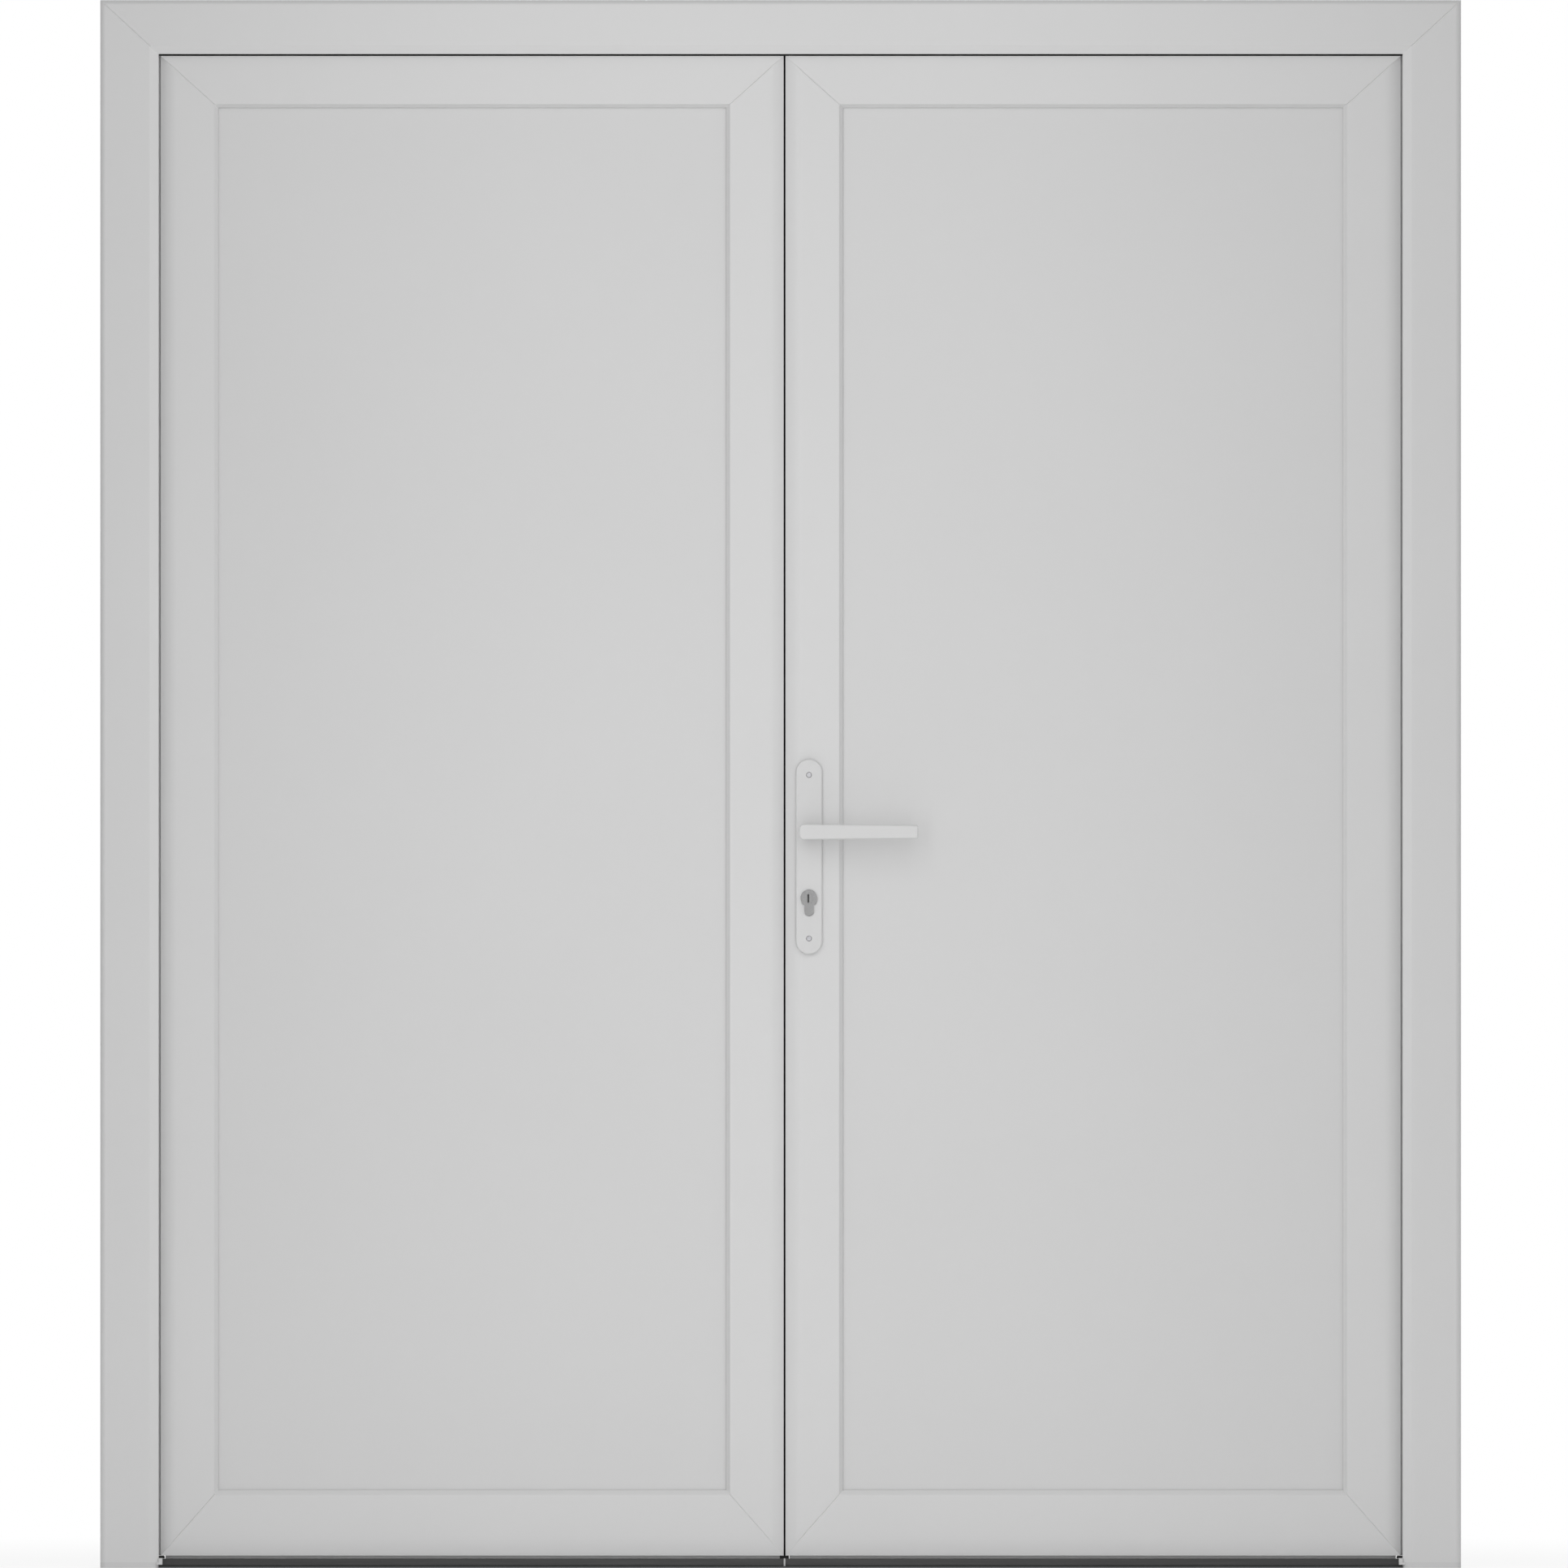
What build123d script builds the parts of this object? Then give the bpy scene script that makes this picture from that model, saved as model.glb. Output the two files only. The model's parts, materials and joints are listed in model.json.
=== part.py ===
"""A double door in its frame: a lever lock in the right leaf, shoot bolts in the left one."""

import math
import os

from build123d import *

# Whole unit
WIDTH = 1736.0
HEIGHT = 2000.0
FRAME_DEPTH = 70.0
MEET_X = 5.0

# Frame profile: face widths, front lip and rebate
JAMB_FACE = 74.4
HEAD_FACE = 68.6
LIP_DEPTH = 24.0
REBATE = 20.0
OUTER_BEVEL_W = 6.2
OUTER_BEVEL_D = 7.0
OUTER_ARC_U_SHARE = 0.3
OUTER_ARC_V_SHARE = 0.34
INNER_BEVEL_W = 11.6
INNER_BEVEL_D = 4.5
WALL = 3.0
FRAME_WEB = 2.0
FRAME_STEEL_DEPTH = 30.0
STEEL_WALL = 1.5

GROOVE = 1.0

# Feet and threshold
FOOT_H = 7.2
TAB_W = 4.9
TAB_TOP = 12.4
TAB_BOTTOM = 4.0
TAB_FRONT = 2.0
TAB_BACK = 12.0
SILL_NOSE_H = 2.2
SILL_RAMP_END = 17.0
SILL_RAMP_H = 3.4
RIDGE_FRONT = 19.5
RIDGE_BACK = 25.5
RIDGE_H = 11.4
SILL_DECK = 5.0
SILL_DECK_START = 28.0
SILL_DECK_END = 66.0
SILL_BACK = 82.0
SILL_VOID_START = 31.0
SILL_VOID_END = 49.0
SILL_VOID_LOW = 1.5
SILL_VOID_HIGH = 3.5

# Leaf profile, measured from the leaf's visible edge and its front face
LEAF_RECESS = 16.0
LEAF_DEPTH = 62.0
LEAF_GAP = 2.4
LEAF_FOOT = 15.4
STILE_FACE = 68.3
TOP_RAIL_FACE = 61.4
BOTTOM_RAIL_FACE = 77.6
BAND_W = 5.0
BAND_D = 6.0
LIP_BACK = 7.5
EDGE_BEVEL_W = 20.0
EDGE_BEVEL_D = 5.5
RAIL_BEVEL_D = 1.2
EDGE_ARC_U_SHARE = 0.46
EDGE_ARC_V_SHARE = 0.28
NOSE_DEPTH = 11.0
SHOULDER = 11.0
FLANGE = 29.0
FLANGE_T = 6.0
CAVITY = 5.0
REAR_SET = 2.0
REAR_LIP = 8.0
GLASS_REBATE = 18.0
FRONT_ROOM_LOW = 8.5
FRONT_ROOM_HIGH = 17.0
MAIN_ROOM_LOW = 19.0
MAIN_ROOM_HIGH = 47.0
REAR_ROOM_LOW = 49.0
REAR_ROOM_HIGH = 59.0
ROD_BAY = 14.0
STEEL_END = 90.0

# Panel and what holds it
PANEL_T = 32.0
PANEL_FRONT = 8.5
PANEL_EDGE = 4.0
GASKET_LAP = 6.0
GASKET_BACK = 3.0
BEAD_W = 20.0
BEAD_BEVEL = 6.0
PACKER_L = 100.0
PACKER_IN = 160.0

# Seals
SEAL_T = 2.7
SEAL_W = 5.0
SEAL_EDGE = 0.5
SEAL_TOP_EDGE = -1.9
PAD_IN = 7.6
PAD_LOW = 0.2
PAD_HIGH = 0.3
FLANGE_SEAL_T = 1.7
FLANGE_SEAL_EDGE = 1.0
CARRIER_H = 4.4
CARRIER_FRONT = 12.0
CARRIER_BACK = 24.0
PILE_FRONT = 15.0
PILE_BACK = 21.0
PILE_FOOT = 5.6
CARRIER_END = 6.0

# Hinges
HINGE_OUT = 2.3
HINGE_REAR = 10.0
KNUCKLE_R = 8.0
PIN_R = 4.0
PIN_FIT = 0.05
PIN_CAP_R = 6.5
PIN_CAP_H = 3.0
HINGE_HALF = 46.0
HINGE_SPLIT = 0.6
HINGE_PLATE_T = 4.0
HINGE_PLATE_W = 34.0
SCREW_SHARE = 0.64
HINGE_NECK_GAP = 2.8
HINGE_NECK_W = 9.0
LEAF_PLATE_IN = 10.6
LEAF_PLATE_W = 30.0
LEAF_PLATE_T = 3.5
LEAF_NECK_T = 5.0
HINGE_IN = 260.0
HINGE_SCREW_R = 2.4
HINGE_SCREW_HEAD_R = 4.2
HINGE_SCREW_HEAD_H = 1.6
HINGE_SCREW_L = 11.0
HINGE_SCREW_Z = 32.0

# Fixing holes through the jambs
FIX_R = 3.1
FIX_IN = 300.0
FIX_DEPTH = 44.0

# Handle set
HANDLE_X = 36.2
LEVER_Z = 938.9
PLATE_W = 33.6
PLATE_H = 249.0
PLATE_Z = 907.2
PLATE_T = 8.0
PLATE_EDGE = 2.0
SCREW_GAP = 208.6
SCREW_R = 2.5
SCREW_HEAD_R = 3.5
SCREW_HEAD_H = 3.0
SCREW_ROOM = 0.1
CROSS_W = 1.1
CROSS_L = 4.6
CROSS_D = 1.6
LEVER_BACK = 12.8
LEVER_REACH = 139.1
LEVER_ROOT_H = 20.0
LEVER_TIP_H = 17.0
LEVER_T = 11.0
LEVER_STAND = 46.0
LEVER_ROOT_R = 6.0
LEVER_TIP_R = 1.8
LEVER_EDGE = 2.2
NECK_R = 8.6
NECK_FIT = 0.05
SPINDLE_W = 8.0
SPINDLE_IN = 12.0
SPINDLE_ROOM = 6.5

# Cylinder
CENTRES = 84.9
CYL_R = 10.9
CYL_STEM_W = 12.8
CYL_DROP = 22.2
CYL_PROUD = 2.0
CYL_ROOM = 0.25
PLUG_R = 6.6
PLUG_FIT = 0.05
CAM_HALF = 4.8
CAM_GAP = 5.0
CAM_R = 14.0
CAM_W = 7.0
CAM_CLEAR = 0.2
KEYWAY_W = 2.4
KEYWAY_H = 10.6
KEYWAY_X = 0.9
KEYWAY_D = 14.0

# Lock
CASE_FRONT = 23.0
CASE_BACK = 39.0
CASE_DEEP = 44.0
CASE_TOP = 44.0
CASE_BOTTOM = 128.0
CASE_WALL = 1.5
PLATE_EDGE_T = 3.0
EDGE_PLATE_HALF = 10.0
EDGE_PLATE_LOW = 700.0
EDGE_PLATE_HIGH = 1180.0
FOLLOWER_R = 9.5
FOLLOWER_FIT = 0.05
LATCH_Z = 22.0
LATCH_H = 16.0
LATCH_T = 11.0
LATCH_L = 20.0
LATCH_PROUD = 1.8
LATCH_BEVEL = 5.0
BOLT_DROP = 42.5
BOLT_H = 24.0
BOLT_T = 10.0
BOLT_L = 34.0
BOLT_ROOM = 0.6
KEEP_T = 3.0
KEEP_MARGIN = 26.0

# Shoot bolts in the left leaf
ROD_IN = 15.0
ROD_V = 38.0
ROD_R = 4.0
ROD_ROOM = 0.4
ROD_LONG = 260.0
ROD_SET = 1.0
ROD_TRAVEL_UP = 17.0
ROD_TRAVEL_DOWN = 12.0
KNOB_R = 2.6
KNOB_PROUD = 1.4
KNOB_ROOM = 0.6
KEEP_PLATE = 2.0
KEEP_HALF_L = 30.0
KEEP_HALF_W = 11.0
KEEP_DEEP = 14.0
STOP_W = 2.2
STOP_TOP = 12.0
STOP_FRONT = 3.0
STOP_BACK = 9.0

# Places worked out from the sizes above
HINGE_HEIGHTS = (HINGE_IN, HEIGHT / 2, HEIGHT - HINGE_IN)
FIX_HEIGHTS = (FIX_IN, HEIGHT - FIX_IN)
HALF_W = WIDTH / 2
FRONT = -FRAME_DEPTH / 2
REAR = FRAME_DEPTH / 2
LIP_X = HALF_W - JAMB_FACE
LIP_Z = HEIGHT - HEAD_FACE
HEAD_SHARE = HEAD_FACE / JAMB_FACE
NOSE_X = LIP_X - LEAF_GAP
TOP_Z = LIP_Z - LEAF_GAP
LEAF_FRONT = FRONT + LEAF_RECESS
LEAF_REAR = LEAF_FRONT + LEAF_DEPTH
TOP_SHARE = TOP_RAIL_FACE / STILE_FACE
FOOT_SHARE = BOTTOM_RAIL_FACE / STILE_FACE
FULL_FACE = STILE_FACE + BAND_W
BASE = FULL_FACE - GLASS_REBATE
AXIS_X = NOSE_X + FLANGE + HINGE_OUT
AXIS_Y = LEAF_REAR + HINGE_REAR
CYL_Z = LEVER_Z - CENTRES
MID_V = (CASE_FRONT + CASE_BACK) / 2
MID_Y = LEAF_FRONT + MID_V
ACTIVE_EDGE = MEET_X + LEAF_GAP / 2 + CAVITY
PASSIVE_EDGE = MEET_X - LEAF_GAP / 2 - CAVITY
PLATE_FACE = ACTIVE_EDGE - PLATE_EDGE_T
ROD_X = MEET_X - LEAF_GAP / 2 - ROD_IN
ROD_Y = LEAF_FRONT + ROD_V
FRAME_SCREW_X = NOSE_X + FLANGE + HINGE_NECK_GAP + HINGE_PLATE_W * SCREW_SHARE
LEAF_SCREW_X = AXIS_X - LEAF_PLATE_IN - LEAF_PLATE_W / 2
EXTRA = 5.0


def slab(x0, x1, y0, y1, z0, z1):
    """Box between two corners, given in any order."""
    middle = Pos((x0 + x1) / 2, (y0 + y1) / 2, (z0 + z1) / 2)
    return middle * Box(abs(x1 - x0), abs(y1 - y0), abs(z1 - z0))


def rod_x(x0, x1, y, z, r):
    """Round bar along X."""
    return Pos((x0 + x1) / 2, y, z) * Rot(0, 90, 0) * Cylinder(r, abs(x1 - x0))


def rod_y(x, y0, y1, z, r):
    """Round bar along Y."""
    return Pos(x, (y0 + y1) / 2, z) * Rot(90, 0, 0) * Cylinder(r, abs(y1 - y0))


def rod_z(x, y, z0, z1, r):
    """Round bar along Z."""
    return Pos(x, y, (z0 + z1) / 2) * Cylinder(r, abs(z1 - z0))


def mitre_groove(a, b, y):
    """Fine V along a mitre from one (x, z) point to another, in a face at depth y."""
    dx = b[0] - a[0]
    dz = b[1] - a[1]
    middle = Pos((a[0] + b[0]) / 2, y, (a[1] + b[1]) / 2)
    turn = Rot(0, -math.degrees(math.atan2(dz, dx)), 0)
    return middle * turn * Rot(45, 0, 0) * Box(math.hypot(dx, dz), GROOVE, GROOVE)


def outline(path, place):
    """Closed face on a path: one point makes a line, two make an arc through the first."""
    start = path[0][-1]
    here = start
    edges = []
    for step in path[1:] + [(start,)]:
        if len(step) == 2:
            edges.append(ThreePointArc(place(here), place(step[0]), place(step[1])))
        else:
            edges.append(Line(place(here), place(step[0])))
        here = step[-1]
    return make_face(edges)


def room(u0, u1, v0, v1):
    """Path of a rectangular chamber."""
    return [((u0, v0),), ((u1, v0),), ((u1, v1),), ((u0, v1),)]


def upright(path, rooms, edge, way, y0, z0, z1):
    """Hollow profile run along Z; u counts from edge in direction way, v from y0."""

    def place(p):
        return (edge + way * p[0], y0 + p[1], z0)

    face = outline(path, place)
    for r in rooms:
        face = face - outline(r, place)
    return extrude(face, amount=z1 - z0, dir=(0, 0, 1))


def level(path, rooms, edge, way, share, y0, x0, x1):
    """Hollow profile run along X; u counts from edge in direction way, times share, v from y0."""

    def place(p):
        return (x0, y0 + p[1], edge + way * share * p[0])

    face = outline(path, place)
    for r in rooms:
        face = face - outline(r, place)
    return extrude(face, amount=x1 - x0, dir=(1, 0, 0))


def prism(points, y0, y1):
    """Solid with this outline in X and Z, between two depths."""
    corners = [(x, y0, z) for x, z in points]
    face = make_face(Polyline(*corners, close=True))
    return extrude(face, amount=y1 - y0, dir=(0, 1, 0))


def ring(x0, x1, z0, z1, w, wt, wb, y0, y1):
    """Four mitred strips round an opening's outer box, of width w at the sides, wt on top and wb below."""
    outer = [(x0, z0), (x1, z0), (x1, z1), (x0, z1)]
    inner = [(x0 + w, z0 + wb), (x1 - w, z0 + wb), (x1 - w, z1 - wt), (x0 + w, z1 - wt)]
    strips = []
    for i in range(len(outer)):
        j = (i + 1) % len(outer)
        strips.append(prism([outer[i], outer[j], inner[j], inner[i]], y0, y1))
    return strips


def hinge_screws(side, x, y, head_y):
    """Hinge screws at a distance x from the middle, driven in at depth y, heads from head_y on."""
    bars = []
    for z in HINGE_HEIGHTS:
        for dz in (-HINGE_SCREW_Z, HINGE_SCREW_Z):
            bar = rod_y(side * x, y - HINGE_SCREW_L, head_y, z + dz, HINGE_SCREW_R)
            head_end = head_y + HINGE_SCREW_HEAD_H
            bars.append(bar + rod_y(side * x, head_y, head_end, z + dz, HINGE_SCREW_HEAD_R))
    return bars


def save(name, *solids):
    """Write one node."""
    flat = []
    for s in solids:
        flat.extend(s.solids())
    shape = flat[0] if len(flat) == 1 else Compound(children=flat)
    shape.label = name
    export_step(shape, os.path.join("parts", name + ".step"))


os.makedirs("parts", exist_ok=True)

# Frame members
bevel_mid = (OUTER_BEVEL_W * OUTER_ARC_U_SHARE, OUTER_BEVEL_D * OUTER_ARC_V_SHARE)
base_u = JAMB_FACE - REBATE
frame_path = [
    ((0, FRAME_DEPTH),),
    ((0, OUTER_BEVEL_D),),
    (bevel_mid, (OUTER_BEVEL_W, 0)),
    ((JAMB_FACE - INNER_BEVEL_W, 0),),
    ((JAMB_FACE, INNER_BEVEL_D),),
    ((JAMB_FACE, LIP_DEPTH),),
    ((base_u, LIP_DEPTH),),
    ((base_u, FRAME_DEPTH),),
]
steel_v0 = LIP_DEPTH + FRAME_WEB
steel_v1 = steel_v0 + FRAME_STEEL_DEPTH
frame_steel_room = room(WALL, base_u - WALL, steel_v0, steel_v1)
frame_rooms = [
    room(OUTER_BEVEL_D + WALL, JAMB_FACE - WALL, INNER_BEVEL_D + WALL, LIP_DEPTH - WALL),
    frame_steel_room,
    room(WALL, base_u - WALL, steel_v1 + FRAME_WEB, FRAME_DEPTH - WALL),
]
steel_hole = room(WALL + STEEL_WALL, base_u - WALL - STEEL_WALL, steel_v0 + STEEL_WALL, steel_v1 - STEEL_WALL)

jamb_trap = [(-HALF_W, FOOT_H), (-LIP_X, FOOT_H), (-LIP_X, LIP_Z), (-HALF_W, HEIGHT)]
head_trap = [(-HALF_W, HEIGHT), (-LIP_X, LIP_Z), (LIP_X, LIP_Z), (HALF_W, HEIGHT)]


def frame_mitres(side):
    """Grooves that finish the welded corner, on the front and the rear."""
    inner = (side * LIP_X, LIP_Z)
    outer = (side * HALF_W, HEIGHT)
    return mitre_groove(inner, outer, FRONT) + mitre_groove(inner, outer, REAR)


def jamb(side):
    """Jamb with its screw holes, on the left (-1) or right (1)."""
    bar = upright(frame_path, frame_rooms, side * HALF_W, -side, FRONT, FOOT_H, HEIGHT)
    trap = [(-side * x, z) for x, z in jamb_trap]
    bar = bar & prism(trap, FRONT, REAR)
    for z in FIX_HEIGHTS:
        bar = bar - rod_x(side * HALF_W, side * LIP_X, FRONT + FIX_DEPTH, z, FIX_R)
    for screw in hinge_screws(side, FRAME_SCREW_X, REAR, REAR):
        bar = bar - screw
    return bar - frame_mitres(side)


def jamb_steel(side):
    """Square steel tube in the jamb."""
    z1 = LIP_Z - STEEL_END
    bar = upright(frame_steel_room, [steel_hole], side * HALF_W, -side, FRONT, FOOT_H + STEEL_END, z1)
    for z in FIX_HEIGHTS:
        bar = bar - rod_x(side * HALF_W, side * LIP_X, FRONT + FIX_DEPTH, z, FIX_R)
    return bar


head = level(frame_path, frame_rooms, HEIGHT, -1, HEAD_SHARE, FRONT, -HALF_W, HALF_W)
head = head & prism(head_trap, FRONT, REAR)
head_base = HEIGHT - base_u * HEAD_SHARE
keep_hole = rod_z(ROD_X, ROD_Y, head_base - EXTRA, head_base + KEEP_DEEP, ROD_R + ROD_ROOM)
head = head - keep_hole - frame_mitres(-1) - frame_mitres(1)
steel_x = LIP_X - STEEL_END
head_steel = level(frame_steel_room, [steel_hole], HEIGHT, -1, HEAD_SHARE, FRONT, -steel_x, steel_x)
head_steel = head_steel - keep_hole
head_keep = slab(
    ROD_X - KEEP_HALF_L,
    ROD_X + KEEP_HALF_L,
    ROD_Y - KEEP_HALF_W,
    ROD_Y + KEEP_HALF_W,
    head_base - KEEP_PLATE,
    head_base,
)
head_keep = head_keep - keep_hole

save("left_jamb", jamb(-1))
save("right_jamb", jamb(1))
save("head", head)
save("frame_steels", jamb_steel(-1), head_steel, jamb_steel(1))
save("head_keep", head_keep)

# Frame gasket behind the lip, on both jambs and the head
seal_y0 = FRONT + LIP_DEPTH
seal_y1 = seal_y0 + SEAL_T
seal_x0 = LIP_X + SEAL_EDGE
seal_x1 = seal_x0 + SEAL_W
seal_z0 = LIP_Z + SEAL_TOP_EDGE
seal_foot = RIDGE_H + PAD_LOW
top_seal = slab(-seal_x1, seal_x1, seal_y0, seal_y1, seal_z0, seal_z0 + SEAL_W)


def side_seal(side):
    """Gasket along a jamb, widened at its foot into a pad under the leaf's corner."""
    strip = slab(side * seal_x0, side * seal_x1, seal_y0, seal_y1, seal_foot, seal_z0)
    pad_x = side * (LIP_X - PAD_IN)
    pad = slab(pad_x, side * seal_x1, seal_y0, seal_y1, seal_foot, LEAF_FOOT - PAD_HIGH)
    return strip + pad


save("frame_gasket", side_seal(-1), top_seal, side_seal(1))

# Threshold and feet
sill_path = [
    ((0, 0),),
    ((SILL_NOSE_H, 0),),
    ((SILL_RAMP_H, SILL_RAMP_END),),
    ((RIDGE_H, RIDGE_FRONT),),
    ((RIDGE_H, RIDGE_BACK),),
    ((SILL_DECK, SILL_DECK_START),),
    ((SILL_DECK, SILL_DECK_END),),
    ((SILL_NOSE_H, SILL_BACK),),
    ((0, SILL_BACK),),
]
sill_room = room(SILL_VOID_LOW, SILL_VOID_HIGH, SILL_VOID_START, SILL_VOID_END)
sill = level(sill_path, [sill_room], 0, 1, 1, FRONT, -LIP_X, LIP_X)
sill_keep = rod_z(ROD_X, ROD_Y, 0, SILL_DECK, ROD_R + ROD_ROOM)
save("threshold", sill - sill_keep)


def foot(side):
    """Plastic block under a jamb, with a small tab beside the opening."""
    path = frame_path[:-3] + [((JAMB_FACE, FRAME_DEPTH),)]
    block = upright(path, [], side * HALF_W, -side, FRONT, 0, FOOT_H)
    tab = slab(
        side * (LIP_X - TAB_W),
        side * (LIP_X + WALL),
        FRONT + TAB_FRONT,
        FRONT + TAB_BACK,
        TAB_BOTTOM,
        FOOT_H,
    )
    lug = slab(
        side * (LIP_X - TAB_W),
        side * LIP_X,
        FRONT + TAB_FRONT,
        FRONT + TAB_BACK,
        TAB_BOTTOM,
        TAB_TOP,
    )
    return block + tab + lug


save("left_foot", foot(-1))
save("right_foot", foot(1))
stop = slab(
    MEET_X - STOP_W / 2,
    MEET_X + STOP_W / 2,
    FRONT + STOP_FRONT,
    FRONT + STOP_BACK,
    SILL_NOSE_H,
    STOP_TOP,
)
save("centre_stop", stop - sill)

# Leaf members


def front_path(bevel):
    """Front of a leaf member, from its outer edge to its back, with a rounded bevel of that depth."""
    arc_mid = (EDGE_BEVEL_W * EDGE_ARC_U_SHARE, bevel * EDGE_ARC_V_SHARE)
    return [
        ((0, bevel),),
        (arc_mid, (EDGE_BEVEL_W, 0)),
        ((STILE_FACE, 0),),
        ((FULL_FACE, BAND_D),),
        ((FULL_FACE, LIP_BACK),),
        ((BASE, LIP_BACK),),
        ((BASE, LEAF_DEPTH),),
    ]


flange_path = [
    ((-FLANGE, LEAF_DEPTH),),
    ((-FLANGE, LEAF_DEPTH - FLANGE_T),),
    ((-SHOULDER, LEAF_DEPTH - FLANGE_T),),
    ((-SHOULDER, NOSE_DEPTH),),
    ((0, NOSE_DEPTH),),
]
hinge_path = front_path(EDGE_BEVEL_D) + flange_path
meet_path = front_path(EDGE_BEVEL_D) + [
    ((REAR_SET, LEAF_DEPTH),),
    ((REAR_SET, LEAF_DEPTH - REAR_LIP),),
    ((CAVITY, LEAF_DEPTH - REAR_LIP),),
    ((CAVITY, NOSE_DEPTH),),
    ((0, NOSE_DEPTH),),
]
top_path = front_path(RAIL_BEVEL_D) + flange_path
foot_path = front_path(RAIL_BEVEL_D) + [((0, LEAF_DEPTH),)]
inner = BASE - WALL


def leaf_rooms(u0, front_u0):
    """Three chambers that start at u0."""
    return [
        room(front_u0, inner, FRONT_ROOM_LOW, FRONT_ROOM_HIGH),
        room(u0, inner, MAIN_ROOM_LOW, MAIN_ROOM_HIGH),
        room(u0, inner, REAR_ROOM_LOW, REAR_ROOM_HIGH),
    ]


hinge_rooms = leaf_rooms(-SHOULDER + WALL, WALL)
meet_rooms = leaf_rooms(CAVITY + WALL, CAVITY + WALL)
foot_rooms = leaf_rooms(WALL, WALL)


def tube(u0):
    """Steel tube that fills the main chamber from u0."""
    hole = room(u0 + STEEL_WALL, inner - STEEL_WALL, MAIN_ROOM_LOW + STEEL_WALL, MAIN_ROOM_HIGH - STEEL_WALL)
    return room(u0, inner, MAIN_ROOM_LOW, MAIN_ROOM_HIGH), [hole]


class Leaf:
    """The pieces that both leaves share, for the left (-1) or right (1) leaf."""

    def __init__(self, side):
        self.side = side
        self.nose = side * NOSE_X
        self.meet = MEET_X + side * LEAF_GAP / 2
        self.way = -side
        self.x0 = min(self.nose, self.meet)
        self.x1 = max(self.nose, self.meet)

    def out(self, u):
        """X at a distance u in from the hinge-side edge."""
        return self.nose + self.way * u

    def back(self, u):
        """X at a distance u in from the meeting edge."""
        return self.meet - self.way * u

    def traps(self):
        """Outlines of the four mitred members in X and Z."""
        up = TOP_Z + FLANGE * TOP_SHARE
        low = LEAF_FOOT + FULL_FACE * FOOT_SHARE
        high = TOP_Z - FULL_FACE * TOP_SHARE
        a = self.out(-FLANGE)
        b = self.out(FULL_FACE)
        c = self.back(FULL_FACE)
        edge = self.back(CAVITY)
        hinge = [(a, LEAF_FOOT), (self.nose, LEAF_FOOT), (b, low), (b, high), (a, up)]
        meet = [(self.meet, LEAF_FOOT), (c, low), (c, high), (self.meet, TOP_Z)]
        top = [(a, up), (b, high), (c, high), (self.meet, TOP_Z), (edge, TOP_Z), (edge, up)]
        foot = [(self.nose, LEAF_FOOT), (b, low), (c, low), (self.meet, LEAF_FOOT)]
        return hinge, meet, top, foot

    def cavity(self):
        """Space kept clear at the meeting edge, so that each leaf can swing past the other."""
        deep = slab(
            self.back(-EXTRA),
            self.back(CAVITY),
            LEAF_FRONT + NOSE_DEPTH,
            LEAF_REAR - REAR_LIP,
            0,
            HEIGHT,
        )
        rear = slab(self.back(-EXTRA), self.back(REAR_SET), LEAF_REAR - REAR_LIP, LEAF_REAR, 0, HEIGHT)
        return deep + rear

    def members(self):
        """Hinge stile, meeting stile, top rail and bottom rail."""
        hinge_t, meet_t, top_t, foot_t = self.traps()
        y0 = LEAF_FRONT
        y1 = LEAF_REAR
        up = TOP_Z + FLANGE
        a = min(self.out(-FLANGE), self.meet)
        b = max(self.out(-FLANGE), self.meet)
        hinge = upright(hinge_path, hinge_rooms, self.nose, self.way, y0, LEAF_FOOT, up)
        hinge = hinge & prism(hinge_t, y0, y1)
        meet = upright(meet_path, meet_rooms, self.meet, -self.way, y0, LEAF_FOOT, up)
        meet = meet & prism(meet_t, y0, y1)
        top = level(top_path, hinge_rooms, TOP_Z, -1, TOP_SHARE, y0, a, b)
        top = top & prism(top_t, y0, y1)
        foot_rail = level(foot_path, foot_rooms, LEAF_FOOT, 1, FOOT_SHARE, y0, a, b)
        foot_rail = foot_rail & prism(foot_t, y0, y1)
        fine = self.mitres()
        top = top - self.cavity() - fine
        foot_rail = foot_rail - self.cavity() - fine
        return hinge - fine, meet - fine, top, foot_rail

    def mitres(self):
        """Grooves that finish the welded corners, on the front and the rear."""
        hinge_t, meet_t, top_t, foot_t = self.traps()
        cuts = []
        for y in (LEAF_FRONT, LEAF_REAR):
            cuts.append(mitre_groove(foot_t[0], foot_t[1], y))
            cuts.append(mitre_groove(foot_t[3], foot_t[2], y))
            cuts.append(mitre_groove(top_t[0], top_t[1], y))
            cuts.append(mitre_groove(top_t[3], top_t[2], y))
        return Compound(cuts)

    def steels(self, cuts):
        """Steel tubes in the two stiles and the two rails, with gaps in the meeting stile's one."""
        y0 = LEAF_FRONT
        low = LEAF_FOOT + FULL_FACE * FOOT_SHARE
        high = TOP_Z - FULL_FACE * TOP_SHARE
        path, hole = tube(-SHOULDER + WALL)
        hinge = upright(path, hole, self.nose, self.way, y0, low, high)
        a = min(self.out(FULL_FACE), self.back(FULL_FACE))
        b = max(self.out(FULL_FACE), self.back(FULL_FACE))
        top = level(path, hole, TOP_Z, -1, TOP_SHARE, y0, a, b)
        path, hole = tube(WALL)
        foot_bar = level(path, hole, LEAF_FOOT, 1, FOOT_SHARE, y0, a, b)
        path, hole = tube(CAVITY + WALL + ROD_BAY)
        meet = [upright(path, hole, self.meet, -self.way, y0, z0, z1) for z0, z1 in cuts(low, high)]
        return [hinge, top, foot_bar] + meet

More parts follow.
